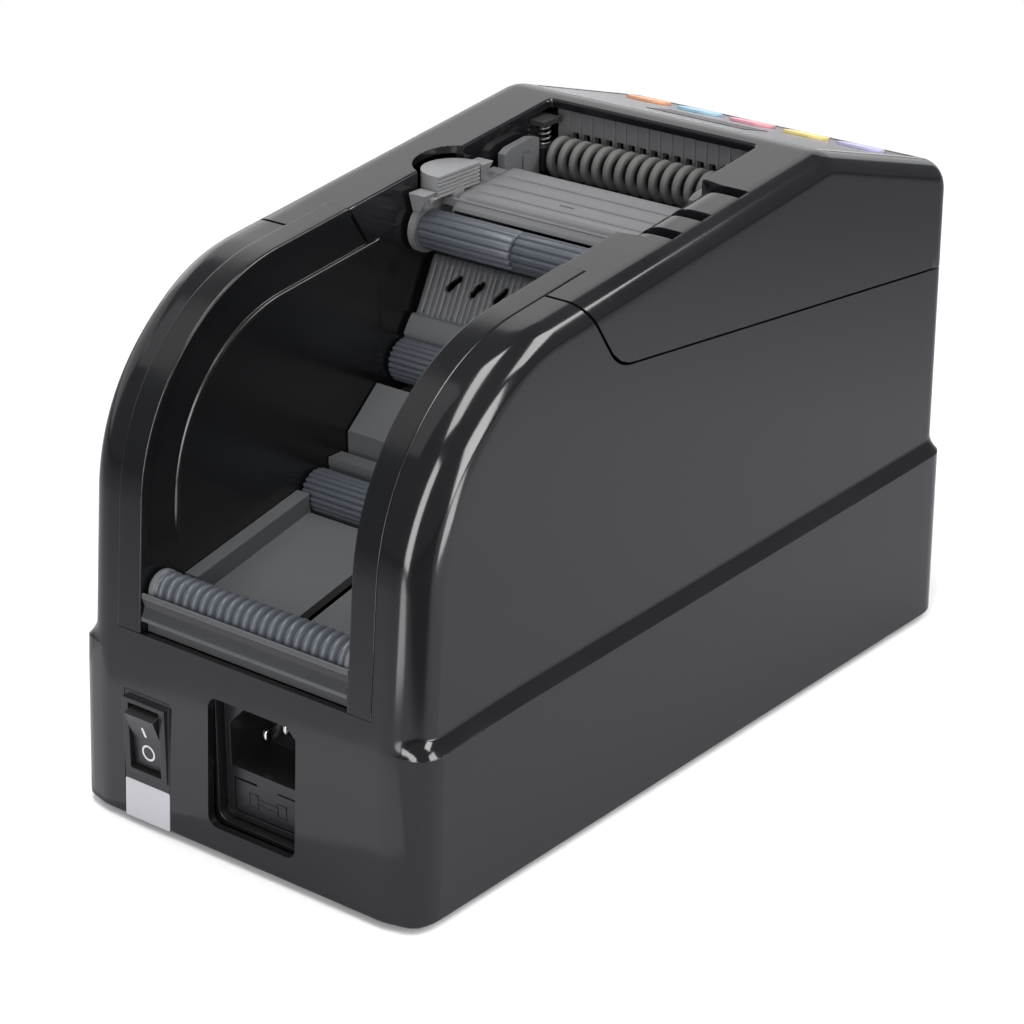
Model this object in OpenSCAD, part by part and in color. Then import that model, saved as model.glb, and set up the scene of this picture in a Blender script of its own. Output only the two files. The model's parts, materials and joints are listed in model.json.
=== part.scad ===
// Electric tape dispenser: a desk machine that feeds tape from an open bay and cuts it at the front.
// Origin at the middle of the footprint on the table, +Z up, tape outlet towards -Y, bay mouth towards +Y.

/* [Body] */
// Width over the base band
body_w = 117; // [110:1:130]
// Length over the base band
body_l = 242; // [234:1:260]
// Height of the ridge between the rails and the key panel
ridge_h = 157.5; // [152:0.5:166]
// Distance of the ridge in front of the middle
ridge_front = 56; // [54:0.5:58]
// Wall of the mouldings
wall = 2.5; // [2:0.1:3]
// Step from the base band in to the upper body
shoulder_step = 2.5; // [1.5:0.1:3]
// Height of the shoulder at the rear
shoulder_rear = 43.5; // [40:0.5:46]
// Height of the shoulder at the front
shoulder_front = 51; // [46:0.5:56]
// Rounding of the upright base corners
corner_r = 9; // [6:0.5:12]
// Rounding of the upper outer edges
edge_r = 7; // [5:0.5:8]
// Radius of the arch behind the bay
arch_r = 60; // [50:1:66]
// Rise of the rails towards the ridge, degrees
rail_slope = 6.8; // [5:0.1:8]
// Fall of the key panel, degrees
panel_slope = 16.2; // [14:0.1:18]
// Lean of the arch legs, degrees
leg_lean = 5; // [4:0.1:6]
// Lean of the rear face of the base, degrees
rear_lean = 2.9; // [2:0.1:4]
// Clear width of the tape bay
bay_w = 70; // [66:0.5:74]
// Width of the inner strip along the arch
strip_w = 8; // [7:0.5:9]
// Visible joint line between mouldings
seam_gap = 0.3; // [0.2:0.05:0.5]

/* [Top cover] */
// Depth of the cover joint below the ridge, at the front face
seam_front_drop = 48.5; // [45.5:0.5:51.5]
// Depth of the cover joint below the ridge, at its rear corner
seam_rear_drop = 32.5; // [29.5:0.5:35.5]
// Distance by which the joint across the inner strip lies in front of the outer one
strip_lag = 19; // [16:0.5:21]
// Distance of the rear corner of the cover joint behind the middle
seam_back = 38; // [35:0.5:40]
// Depth of the skirt inside the rails
skirt = 12; // [11:0.5:13]
// Length of the rolled grip on the right rail
grip_len = 38; // [30:1:42]
// Rolled edge radius of the grip
grip_r = 6; // [4:0.5:7]
// Width of the cross grooves in the grip
groove_w = 4.4; // [3:0.2:6]
// Width of the tape outlet in the front face
outlet_w = 62; // [56:1:64]
// Height of the tape outlet
outlet_h = 11; // [9:0.5:12]

/* [Rollers of the bay] */
// Diameter of the grooved rear roller
rear_roller_d = 10.4; // [9:0.2:11]
// Diameter of the two fluted rollers
fluted_roller_d = 12.4; // [11:0.2:13]
// Diameter of the roller axles
axle_d = 3; // [2.5:0.1:4]
// Diametral running clearance of rollers on their axles
running_gap = 0.1; // [0.04:0.02:0.16]
// Side clearance between a roller and the bay walls
side_gap = 0.6; // [0.4:0.1:1]
// Number of grooves on the rear roller
rear_grooves = 22; // [16:1:24]
// Number of flutes on a fluted roller
flutes = 22; // [16:1:26]

/* [Feed] */
// Diameter of a rubber ring of the pressure roller
ring_d = 11.8; // [10.6:0.2:12.2]
// Spacing of the rubber rings
ring_pitch = 3.9; // [3.6:0.05:4]
// Number of rubber rings
ring_count = 15; // [13:1:15]
// Diameter of the drive roller
drive_d = 16; // [14:0.5:17]
// Gap for the tape between the rings and the drive roller
nip_gap = 0.4; // [0.3:0.05:0.6]
// Diameter of the guide roller
guide_d = 11; // [10:0.2:12]
// Gear module
gear_m = 1; // [0.9:0.05:1.1]
// Teeth of the drive roller gear
drive_teeth = 24; // [22:1:26]
// Teeth of the idler gear
idler_teeth = 50; // [48:1:52]
// Teeth of the motor pinion
pinion_teeth = 14; // [13:1:15]
// Wire of the pressure springs
spring_wire = 0.6; // [0.4:0.05:0.65]
// Diameter of the pressure springs at the middle of the wire
spring_d = 4; // [3.6:0.1:4.4]
// Turns of a pressure spring
spring_turns = 4; // [3:0.5:4]

/* [Cutter] */
// Stroke of the moving blade
blade_stroke = 8; // [6:0.5:9]
// Thickness of the blades
blade_t = 1; // [0.8:0.1:1.2]
// Gap between the blades
blade_gap = 0.3; // [0.2:0.05:0.4]

/* [Latch and keys] */
// Travel of the latch knob
latch_travel = 2.5; // [2:0.1:3]
// Radius of the round back of the latch knob
latch_r = 9; // [8:0.5:9.5]
// Length of a key
key_l = 14; // [12:0.5:15]
// Width of a key
key_w = 9; // [8:0.5:10]
// Spacing of the keys
key_pitch = 18.4; // [17:0.2:19]
// Travel of a key
key_travel = 0.5; // [0.3:0.05:0.6]

/* [Switch and inlet] */
// Width of the switch strip
strip_panel_w = 16; // [15.6:0.2:18]
// Tilt of the rocker from its middle, degrees
rocker_tilt = 12; // [8:1:14]
// Width of the inlet window
inlet_w = 29.8; // [28:0.2:31]
// Height of the inlet window
inlet_h = 36; // [35:0.5:37]

/* [Hidden] */
$fn = 48;

// Heights and half widths of the body
foot_h = 2;
base_x = body_w / 2;
upper_x = base_x - shoulder_step;
bay_x = bay_w / 2;
strip_x = bay_x + strip_w;
half_l = body_l / 2;
front_y = -half_l + shoulder_step;
ridge = [-ridge_front, ridge_h];
eps = 0.01;
seam_front = ridge_h - seam_front_drop;
seam_rear = ridge_h - seam_rear_drop;

function rear_y(z) = half_l - tan(rear_lean) * (z - foot_h);
function shoulder_z(y) = shoulder_rear + (shoulder_front - shoulder_rear) * (half_l - y) / body_l;

// The outer edge runs up the leg, over the arch, along the rail, over the ridge and down the panel
// and the front. Each stretch has a heading, in degrees below the way to the front.
leg_turn = leg_lean - 90;
rail_turn = -rail_slope;
panel_turn = panel_slope;
front_turn = 90;
ridge_r = 14;
nose_r = 9.4;
rim_d = edge_r + 2;
// Flat panels lie this much inside the bent edges that they join
panel_in = 0.04;

function heading(a) = [-cos(a), -sin(a)];
function outward(a) = [-sin(a), cos(a)];
function cross2(u, v) = u[0] * v[1] - u[1] * v[0];
function meet(p, a, q, b) =
  p + heading(a) * (cross2(q - p, heading(b)) / cross2(heading(a), heading(b)));

leg_foot = [rear_y(shoulder_rear), shoulder_rear];
arch_v = meet(leg_foot, leg_turn, ridge, rail_turn);
nose_v = meet(ridge, panel_turn, [front_y, 0], front_turn);
arch_t = arch_r * tan((rail_turn - leg_turn) / 2);
ridge_t = ridge_r * tan((panel_turn - rail_turn) / 2);
nose_t = nose_r * tan((front_turn - panel_turn) / 2);
leg_top = arch_v - heading(leg_turn) * arch_t;
arch_c = leg_top - outward(leg_turn) * arch_r;
rail_back = arch_v + heading(rail_turn) * arch_t;
ridge_back = ridge - heading(rail_turn) * ridge_t;
ridge_c = ridge_back - outward(rail_turn) * ridge_r;
ridge_fore = ridge + heading(panel_turn) * ridge_t;
nose_back = nose_v - heading(panel_turn) * nose_t;
nose_c = nose_back - outward(panel_turn) * nose_r;
nose_low = nose_v + heading(front_turn) * nose_t;

function rail_z(y) = ridge[1] - tan(rail_slope) * (y - ridge[0]);
function rail_at(y) = [y, rail_z(y)];
function leg_at(z) = [leg_foot[0] - tan(leg_lean) * (z - leg_foot[1]), z];

// Points of an arc, and of a rectangle with round corners
function arc_pts(c, r, a0, a1, n = 6) =
  [for (k = [0:n]) let (a = a0 + (a1 - a0) * k / n) c + r * [cos(a), sin(a)]];
function round_rect(x, y, r, n = 6) = concat(
  arc_pts([x - r, y - r], r, 0, 90, n), arc_pts([r - x, y - r], r, 90, 180, n),
  arc_pts([r - x, r - y], r, 180, 270, n), arc_pts([x - r, r - y], r, 270, 360, n));
// Rounds the corner at p between a and b
function fillet(a, p, b, r, n = 6) =
  let (u = (a - p) / norm(a - p), v = (b - p) / norm(b - p), half = acos(u * v) / 2,
       c = p + (u + v) / norm(u + v) * r / sin(half), s = p + u * r / tan(half) - c,
       a0 = atan2(s[1], s[0]), turn = (cross2(u, v) > 0 ? -1 : 1) * (180 - 2 * half))
  arc_pts(c, r, a0, a0 + turn, n);

// Outline of the upper body seen from the side, drawn in by a distance
function side_outline(inset, floor_z) =
  let (leg_low = meet(leg_foot - outward(leg_turn) * inset, leg_turn, [0, floor_z], 0),
       ridge_in = meet(ridge - outward(rail_turn) * inset, rail_turn,
                       ridge - outward(panel_turn) * inset, panel_turn),
       nose_in = meet(ridge - outward(panel_turn) * inset, panel_turn,
                      [front_y + inset, 0], front_turn))
  concat([leg_low], arc_pts(arch_c, arch_r - inset, leg_turn + 90, rail_turn + 90, 16),
         [ridge_in, nose_in, [front_y + inset, floor_z]]);

// Sections across the edge: [x, height above the surface]
function outer_corner(x, r) = arc_pts([x - r, -r], r, 90, 0);
function inner_corner(x, r) = arc_pts([x - r, -r], r - wall, 0, 90);
function shell_edge(x0) = concat([[x0, 0]], outer_corner(upper_x, edge_r),
  [[upper_x, -rim_d], [upper_x - wall, -rim_d]], inner_corner(upper_x, edge_r), [[x0, -wall]]);
function rail_edge() = concat([[bay_x, 0]], outer_corner(upper_x, edge_r),
  [[upper_x, -rim_d], [upper_x - wall, -rim_d]], inner_corner(upper_x, edge_r),
  [[bay_x + wall, -wall], [bay_x + wall, -skirt], [bay_x, -skirt]]);
function full_edge() =
  let (right = concat(outer_corner(upper_x, edge_r), [[upper_x, -rim_d], [upper_x - wall, -rim_d]],
                      inner_corner(upper_x, edge_r)))
  concat(right, [for (k = [len(right) - 1:-1:0]) [-right[k][0], right[k][1]]]);
function flip(pts) = [for (k = [len(pts) - 1:-1:0]) [-pts[k][0], pts[k][1]]];

module along_x(x0, x1) {
  translate([x0, 0, 0]) rotate([90, 0, 90]) linear_extrude(x1 - x0) children();
}
module along_y(y0, y1) {
  translate([0, y1, 0]) rotate([90, 0, 0]) linear_extrude(y1 - y0) children();
}
module both_sides() {
  children();
  mirror([1, 0, 0]) children();
}
// Carries a section in a straight line between two points of the side view
module run(p, q, section) {
  turn = atan2(p[1] - q[1], p[0] - q[0]);
  translate([0, p[0], p[1]]) rotate([turn, 0, 0]) rotate([90, 0, 0])
    linear_extrude(norm(q - p)) polygon(section);
}
// Carries a section round a bend of the side view
module bend(c, r, a0, a1, section) {
  translate([0, c[0], c[1]]) rotate([90, 0, 90]) rotate([0, 0, a0 + 90])
    rotate_extrude(angle = a1 - a0, $fn = 96) polygon([for (s = section) [r + s[1], s[0]]]);
}
module rod(x0, x1, d, y, z) {
  translate([x0, y, z]) rotate([0, 90, 0]) cylinder(d = d, h = x1 - x0);
}
module on_panel() {
  translate([0, ridge[0], ridge[1]]) rotate([panel_slope, 0, 0]) children();
}
module on_rail(y) {
  translate([0, y, rail_z(y)]) rotate([-rail_slope, 0, 0]) children();
}

// Joint line of the top cover, seen from the side
seam_corner = [seam_back, seam_rear];
seam_top = [seam_back + 22, rail_z(seam_back) + 12];
seam_fore = [front_y - 8, seam_front - 8 * (seam_rear - seam_front) / (seam_back - front_y)];
// Across the inner strip the joint is moved along its own line
strip_shift = strip_lag * (seam_fore - seam_corner) / norm(seam_fore - seam_corner);
strip_slot = 0.8;
module cover_zone() {
  polygon(concat([seam_fore], fillet(seam_fore, seam_corner, seam_top, 12),
                 [seam_top, [seam_top[0], ridge_h + 20], [seam_fore[0], ridge_h + 20]]));
}

// Base band: leaning rear face, shoulder that climbs to the front, round upright corners
module base_block(inset, low) {
  top_rear = shoulder_z(half_l) - inset;
  intersection() {
    along_x(inset - base_x, base_x - inset)
      polygon([[rear_y(low) - inset, low], [rear_y(top_rear) - inset, top_rear],
               [inset - half_l, shoulder_z(-half_l) - inset], [inset - half_l, low]]);
    linear_extrude(shoulder_front + 10)
      polygon(round_rect(base_x - inset, half_l - inset, corner_r - inset));
  }
}

boss_x = base_x - wall - 4;
boss_y = half_l - 24;
screw_d = 3;
module boss_places() {
  for (x = [-1, 1], y = [-1, 1])
    translate([x * boss_x, y * boss_y, 0]) children();
}

// Rear face: switch strip to the left of the inlet, seen from the front
strip_panel_x = 32.5;
strip_panel_top = 38.3;
inlet_x = -4;
inlet_z = 27;
sill_z = 54.7;
plate_z = foot_h + 0.4;
plate_t = 2;
plate_top = plate_z + plate_t;
outlet_z = nose_v[1] - 15.84;
// Heights in the bay are drawn for a ridge at 157.5 and stretch with it
bay_stretch = (ridge_h - sill_z) / (157.5 - sill_z);
function bay_z(z) = sill_z + (z - sill_z) * bay_stretch;

module main_housing() {
  color([0.16, 0.16, 0.17]) difference() {
    union() {
      difference() {
        base_block(0, foot_h);
        base_block(wall, foot_h - 1);
        translate([0, (rear_y(shoulder_rear) + front_y) / 2, shoulder_rear - 12]) linear_extrude(30)
          polygon(round_rect(upper_x - wall, (rear_y(shoulder_rear) - front_y) / 2 - wall, edge_r - wall));
      }
      run(leg_at(shoulder_rear - wall), leg_at(sill_z), full_edge());
      both_sides() {
        run(leg_at(sill_z), leg_top, shell_edge(strip_x));
        bend(arch_c, arch_r, leg_turn, rail_turn, shell_edge(strip_x));
        run(rail_back, rail_at(seam_back - 4), shell_edge(strip_x));
        along_x(upper_x - wall + panel_in, upper_x - panel_in)
          polygon(side_outline(rim_d - 1, shoulder_rear - wall));
      }
      run([front_y, seam_front + 12], [front_y, shoulder_z(front_y) - wall], full_edge());
      intersection() {
        boss_places() translate([0, 0, plate_top]) cylinder(r = 5, h = 16);
        base_block(0, foot_h);
      }
    }
    along_x(-base_x, base_x) cover_zone();
    boss_places() translate([0, 0, plate_top - 1]) cylinder(d = screw_d - 0.2, h = 13);
    translate([inlet_x, half_l - 15, inlet_z]) rotate([-90, 0, 0]) linear_extrude(20)
      polygon(round_rect(inlet_w / 2, inlet_h / 2, 3));
    translate([strip_panel_x - strip_panel_w / 2 - seam_gap / 2, half_l - 12, 0])
      cube([strip_panel_w + seam_gap, 20, strip_panel_top + seam_gap / 2]);
  }
}

// Top cover: rails, front bar, key panel and upper front face with the tape outlet
film_x = upper_x - edge_r - 0.6;
film_y0 = -6;
film_y1 = 9.1 - norm(nose_v - ridge);
film_t = 0.5;
film_pocket = 0.6;
keys_y = film_y1 + 10.2;
latch_y = -3;
latch_x = bay_x - 4.5;
grip_y = -7;
bar_y = -50.8;
groove_places = [-15.5, 1, 13.5];
groove_d = 1.8;
module key_outline(gap) {
  polygon(round_rect(key_l / 2 + gap, key_w / 2 + gap, key_w / 2 + gap - eps, 8));
}
module key_places() {
  for (k = [-2:2]) translate([k * key_pitch, keys_y, 0]) children();
}
module top_cover() {
  color([0.15, 0.15, 0.16]) difference() {
    intersection() {
      translate([0, -1.2 * seam_gap, seam_gap]) union() {
        both_sides() along_x(strip_x + strip_slot, base_x) cover_zone();
        along_x(-strip_x - strip_slot - eps, strip_x + strip_slot + eps)
          translate(strip_shift) cover_zone();
      }
      union() {
        both_sides() {
          run(rail_at(seam_top[0]), rail_at(bar_y), rail_edge());
          along_x(upper_x - wall, upper_x) polygon(side_outline(rim_d - 1, seam_front - 10));
        }
        run(rail_at(bar_y), ridge_back, full_edge());
        bend(ridge_c, ridge_r, rail_turn, panel_turn, full_edge());
        run(ridge_fore, nose_back, full_edge());
        bend(nose_c, nose_r, panel_turn, front_turn, full_edge());
        run(nose_low, [front_y, seam_front - 5], full_edge());
      }
    }
    // Pocket of the key film and the key holes
    on_panel() {
      translate([-film_x - seam_gap / 2, film_y1 - seam_gap / 2, -film_pocket])
        cube([2 * film_x + seam_gap, film_y0 - film_y1 + seam_gap, 5]);
      key_places() translate([0, 0, -wall - 2]) linear_extrude(wall + 4) key_outline(0.4);
    }
    // Round cut-out behind the latch knob, and the gap where the skirt ends before the spring
    translate([latch_x, latch_y, ridge_h - 25]) cylinder(r = latch_r + latch_travel + 0.6, h = 40);
    both_sides() translate([bay_x - 1, bar_y - 2, ridge_h - 16])
      cube([wall + 2, 12, rail_z(bar_y + 10) - wall - 0.2 - ridge_h + 16]);
    // Rolled grip with three cross grooves on the right rail
    on_rail(grip_y) difference() {
      translate([-bay_x - grip_r, -grip_len / 2, -grip_r]) cube([grip_r + 1, grip_len, grip_r + 2]);
      translate([-bay_x - grip_r, 0, -grip_r]) rotate([90, 0, 0])
        cylinder(r = grip_r, h = grip_len + 2, center = true);
    }
    on_rail(grip_y) for (y = groove_places)
      translate([-bay_x - 15, y - groove_w / 2, -groove_d]) cube([16, groove_w, 5]);
    // Tape outlet
    translate([-outlet_w / 2, front_y - 5, outlet_z - outlet_h / 2]) cube([outlet_w, 12, outlet_h]);
  }
}

// Base plate with rubber feet and screws
foot_d = 15;
foot_x = base_x - 16;
foot_y = half_l - 16;
foot_stub_d = 6;
module foot_places() {
  for (x = [-1, 1], y = [-1, 1])
    translate([x * foot_x, y * foot_y, 0]) children();
}
module base_plate() {
  color([0.2, 0.2, 0.21]) difference() {
    translate([0, 0, plate_z]) linear_extrude(plate_t)
      polygon(round_rect(base_x - wall - 0.4, half_l - wall - 0.4, corner_r - wall));
    boss_places() translate([0, 0, plate_z - 1]) cylinder(d = screw_d + 0.4, h = plate_t + 2);
    foot_places() translate([0, 0, plate_z - 1]) cylinder(d = foot_stub_d + 0.2, h = plate_t + 2);
    translate([strip_panel_x - strip_panel_w / 2 - 0.5, rear_y(0) - wall - 3, 0])
      cube([strip_panel_w + 1, 10, 10]);
  }
}
module rubber_feet() {
  color([0.08, 0.08, 0.08]) foot_places() {
    rotate_extrude() polygon([[0, 0], [foot_d / 2 - 1, 0], [foot_d / 2, 1], [foot_d / 2, plate_z],
      [foot_stub_d / 2, plate_z], [foot_stub_d / 2, plate_top - 0.1], [0, plate_top - 0.1]]);
  }
}
module base_screws() {
  color([0.6, 0.6, 0.62]) boss_places() {
    difference() {
      union() {
        translate([0, 0, plate_z - 1.6]) cylinder(d = 6, h = 1.6);
        translate([0, 0, plate_z - 0.2]) cylinder(d = screw_d - 0.3, h = 11);
      }
      for (a = [0, 90]) rotate([0, 0, a]) translate([-2, -0.4, plate_z - 2]) cube([4, 0.8, 1.2]);
    }
  }
}

// Tape bay: inner walls with the strip along the arch, tray with rollers, slotted plate
bay_front = -9;
bay_floor = 47;
wall_inset = skirt + 0.8;
margin_d = 0.8;
margin_in = 2.2;
rear_roller_at = [half_l - 10.8, bay_z(65.2)];
lower_roller_at = [51, bay_z(72.4)];
upper_roller_at = [15, bay_z(99)];
guide_at = [6, ridge_h - 23];
axle_hole = axle_d + 0.06;
// Section of the strip with the margin of the wall, set back between the strip and the raised panel
function bay_strip() = [[bay_x + panel_in, 0], [strip_x - seam_gap / 2, 0], [strip_x - seam_gap / 2, -wall],
  [bay_x + wall - panel_in, -wall], [bay_x + wall - panel_in, -wall_inset - 1],
  [bay_x + margin_d, -wall_inset - 1], [bay_x + margin_d, -margin_in], [bay_x + panel_in, -margin_in]];
function margin_fill() = [[bay_x + 2 * panel_in, 0.2 - margin_in], [bay_x + margin_d + 0.4, 0.2 - margin_in],
  [bay_x + margin_d + 0.4, -wall_inset - 0.5], [bay_x + 2 * panel_in, -wall_inset - 0.5]];
guide_seat = [6, guide_at[1] - guide_d / 2 - 1.5];
module bay_wall() {
  difference() {
    union() {
      run(leg_at(sill_z + seam_gap), leg_top, bay_strip());
      // The margin ends above the tray
      run(leg_at(sill_z + seam_gap), leg_at(bay_z(79)), margin_fill());
      bend(arch_c, arch_r, leg_turn, rail_turn, bay_strip());
      difference() {
        run(rail_back, rail_at(seam_back - strip_lag - 4), bay_strip());
        along_x(0, base_x) translate(strip_shift) cover_zone();
      }
      along_x(bay_x, bay_x + wall) intersection() {
        polygon(side_outline(wall_inset, bay_floor));
        translate([bay_front, 0]) square([half_l, ridge_h]);
      }
      // Ledge that carries a cheek of the guide unit
      translate([bay_x - 3, guide_seat[0] - 3, guide_seat[1] - 2.5]) cube([4, 6, 2.5]);
    }
    for (c = [rear_roller_at, lower_roller_at, upper_roller_at])
      rod(bay_x - 1, bay_x + wall + 1, axle_hole, c[0], c[1]);
  }
}
module bay_wall_left() {
  color([0.13, 0.13, 0.14]) bay_wall();
}
module bay_wall_right() {
  color([0.13, 0.13, 0.14]) mirror([1, 0, 0]) bay_wall();
}

// Tray: cradle profile carried across the bay, cut for the rollers, with raised sides
tray_x = bay_x - 0.2;
tray_t = 2.4;
roller_room = 0.9;
tray_rim = 4.5;
slot_x = 2;
function floor_at(y) = bay_z(62.5 + 0.21 * (half_l - 30 - y));
module thick_line(p, q, t) {
  n = [p[1] - q[1], q[0] - p[0]] / norm(q - p) * t;
  polygon([p, q, q + n, p + n]);
}
module tray_line(p, q) {
  thick_line([p[0], bay_z(p[1])], [q[0], bay_z(q[1])], tray_t);
}
tray_back = half_l - 20;
cradle_y = leg_at(sill_z)[0];
cradle_in = rear_roller_at[0] + rear_roller_d / 2 + 0.35;
cradle_top = rear_roller_at[1] + 0.6;
slope_low = upper_roller_at[1] + fluted_roller_d / 2 + 3.2;
module tray_profile() {
  tray_line([cradle_y - wall - 0.3, 57], [tray_back + 2.5, 57]);
  thick_line([tray_back + 4.5, bay_z(57) - tray_t], [tray_back, floor_at(tray_back)], tray_t);
  thick_line([tray_back + 0.5, floor_at(tray_back + 0.5)], [58.3, floor_at(58.3)], tray_t);
  thick_line([58.6, floor_at(58.6)], [57.5, bay_z(64)], tray_t);
  tray_line([59, 65], [43, 65]);
  tray_line([45, 62.6], [45, 79.5]);
  tray_line([45.2, 79.8], [40, 79.8]);
  tray_line([42.4, 79.8], [42.4, 72]);
  tray_line([43.5, 74], [35, 74]);
  tray_line([37.2, 72.2], [37.2, 84.8]);
  tray_line([37.2, 84.6], [25, 94.9]);
  tray_line([25.6, 94], [20.5, 89.5]);
  tray_line([22.5, 90.2], [4.5, 90.2]);
  thick_line([7, bay_z(88.5)], [7, slope_low - tray_t - 0.3], tray_t);
  // Cradle behind the rear roller: round lip, hollow outer face, flared foot above the sill
  polygon([[cradle_y - wall - 1, bay_z(56)], [cradle_y - wall - 0.3, bay_z(57)], [cradle_y - 2, sill_z + 3.4],
    [cradle_y - 0.5, sill_z + 3.6], [cradle_y - 0.6, sill_z + 4.6], [cradle_y - 1.5, sill_z + 5.8],
    [cradle_y - 1.7, sill_z + 7.4], [cradle_y - 1.3, cradle_top - 1.8], [cradle_y - 1, cradle_top - 1],
    [cradle_y - 1.2, cradle_top - 0.2], [cradle_y - 1.6, cradle_top], [cradle_in, cradle_top - 0.4],
    [cradle_in - 2, sill_z + 4], [cradle_in - 3, bay_z(57) - 0.6]]);
}
module tray_cut(c, d, room = roller_room) {
  rod(-bay_x, bay_x, d + 2 * room, c[0], c[1]);
}
module bay_tray() {
  color([0.27, 0.28, 0.29]) difference() {
    union() {
      along_x(-tray_x, tray_x) tray_profile();
      both_sides() along_x(tray_x - tray_rim, tray_x)
        polygon([[tray_back, floor_at(tray_back) - 1], [tray_back, floor_at(tray_back) + 5.5],
                 [57.5, floor_at(57.5) + 5], [57.5, floor_at(57.5) - 1]]);
    }
    tray_cut(rear_roller_at, rear_roller_d, 0.35);
    tray_cut(lower_roller_at, fluted_roller_d);
    tray_cut(upper_roller_at, fluted_roller_d);
    translate([-slot_x - 1.5, 64, 50]) cube([2 * slot_x, half_l - 89, 30]);
  }
}
// Sloped plate with oval slots above the upper roller
slope_head = guide_at[1] - guide_d / 2 - 4.5;
module slotted_plate() {
  color([0.25, 0.26, 0.27]) difference() {
    union() {
      along_x(-tray_x, tray_x) {
        thick_line([15.5, slope_low], [4.4, slope_low], tray_t);
        thick_line([10.5, slope_low - 0.3], [2.6, slope_head], tray_t);
      }
      for (k = [-8:8]) translate([k * 3.8, 0, 0]) along_x(-0.5, 0.5)
        thick_line([9.9, slope_low + 1.9], [3.2, slope_head - 0.3], 1);
    }
    for (k = [-1:1]) translate([k * 14, 6, (slope_low + slope_head) / 2 + 1]) rotate([64, 0, 0])
      linear_extrude(20, center = true) polygon(round_rect(4, 1.6, 1.6 - eps, 6));
  }
}

// Rollers with their axles
roller_x = bay_x - side_gap;
module axle(c) {
  color([0.72, 0.72, 0.74]) rod(-bay_x - wall, bay_x + wall, axle_d, c[0], c[1]);
}
module fluted_bar(x0, x1, d, n) {
  along_x(x0, x1) difference() {
    circle(d = d);
    for (k = [0:n - 1]) rotate(k * 360 / n) translate([d / 2, 0]) circle(d = d * 1.5 / n, $fn = 8);
    circle(d = axle_d + running_gap);
  }
}
module rear_roller() {
  pitch = (2 * roller_x - 5) / rear_grooves;
  groove_r = pitch * 0.38;
  color([0.36, 0.4, 0.46]) translate([0, rear_roller_at[0], rear_roller_at[1]]) rotate([0, 90, 0])
    difference() {
      cylinder(d = rear_roller_d, h = 2 * roller_x, center = true);
      for (k = [0:rear_grooves - 1]) translate([0, 0, (k + 0.5 - rear_grooves / 2) * pitch])
        rotate_extrude() translate([rear_roller_d / 2 + groove_r * 0.35, 0]) circle(r = groove_r, $fn = 16);
      cylinder(d = axle_d + running_gap, h = 2 * bay_x, center = true);
    }
}
module rear_axle() {
  axle(rear_roller_at);
}
module lower_roller() {
  color([0.34, 0.38, 0.44]) translate([0, lower_roller_at[0], lower_roller_at[1]])
    fluted_bar(-roller_x, roller_x, fluted_roller_d, flutes);
}
module lower_axle() {
  axle(lower_roller_at);
}
module upper_roller() {
  color([0.34, 0.38, 0.44]) translate([0, upper_roller_at[0], upper_roller_at[1]])
    fluted_bar(-roller_x, roller_x, fluted_roller_d, flutes);
}
module upper_axle() {
  axle(upper_roller_at);
}

// Guide unit under the rails: ribbed plate, cheeks, guide roller in two halves, latch knob
cheek_x = bay_x - 1.2;
cheek_t = 2;
guide_axle_d = 3;
guide_front = [-20, ridge_h - 19];
guide_top = [[0.5, ridge_h - 15.3], [-24, ridge_h - 13.5]];
function guide_z(y) = guide_top[0][1] + (guide_top[1][1] - guide_top[0][1]) * (guide_top[0][0] - y)
  / (guide_top[0][0] - guide_top[1][0]);
latch_base = guide_z(latch_y - latch_r) + 0.3;
latch_h = 6;
tongue_w = 4;
ear_z = guide_at[1] + guide_d / 2 + 1.3;
module guide_frame() {
  color([0.48, 0.49, 0.5]) difference() {
    union() {
      both_sides() along_x(cheek_x - cheek_t, cheek_x) {
        translate(guide_at) circle(d = guide_d + 2.4);
        translate(guide_front) circle(r = 4.6);
        polygon([guide_at + [1, guide_d / 2 + 1.1], guide_at + [0, -guide_d / 2 - 1.2],
                 guide_front + [0, -4.6], guide_front + [0, 4.6], guide_top[0]]);
      }
      along_x(-cheek_x, cheek_x) thick_line(guide_top[1], guide_top[0], -2.2);
      along_x(-cheek_x, cheek_x) thick_line(guide_top[1] - [0, 1], [guide_top[1][0], ridge_h - 20], 2);
      for (y = [-4, -9.5, -15, -20.5]) along_x(-cheek_x + cheek_t + 4, cheek_x - cheek_t - 1)
        translate([y, guide_z(y) - 0.5]) polygon([[-1.7, 0], [1.7, 0], [1.1, 1.2], [-1.1, 1.2]]);
      // Ears each side of the latch knob, slim beside the roller and wider above it
      for (y = [latch_y - latch_r - 4.2, latch_y + latch_r + 1]) {
        translate([cheek_x - cheek_t, y, guide_at[1]]) cube([cheek_t, 3.2, ear_z - guide_at[1] + 1]);
        translate([cheek_x - 4.5, y, ear_z]) cube([4.5, 3.2, rail_z(y) - ear_z - 4.5]);
      }
    }
    rod(-bay_x, bay_x, guide_axle_d + 0.06, guide_at[0], guide_at[1]);
    translate([-5, -7.5, ridge_h - 27.5]) cube([9, 1.4, 20]);
    translate([latch_x - 8.5, latch_y - tongue_w / 2 - 0.3, latch_base - 4.5])
      cube([16, tongue_w + 0.6, 10]);
    translate([latch_x - 3, latch_y - latch_r - 0.6, latch_base - 0.3])
      cube([20, 2 * latch_r + 1.2, 20]);
  }
}
module guide_half(x0, x1) {
  color([0.36, 0.4, 0.46]) translate([0, guide_at[0], guide_at[1]]) along_x(x0, x1) difference() {
    circle(d = guide_d);
    for (k = [0:15]) rotate(k * 22.5) translate([guide_d / 2 + 0.2, 0]) circle(d = 1.3, $fn = 8);
    circle(d = guide_axle_d + running_gap);
  }
}
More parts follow.
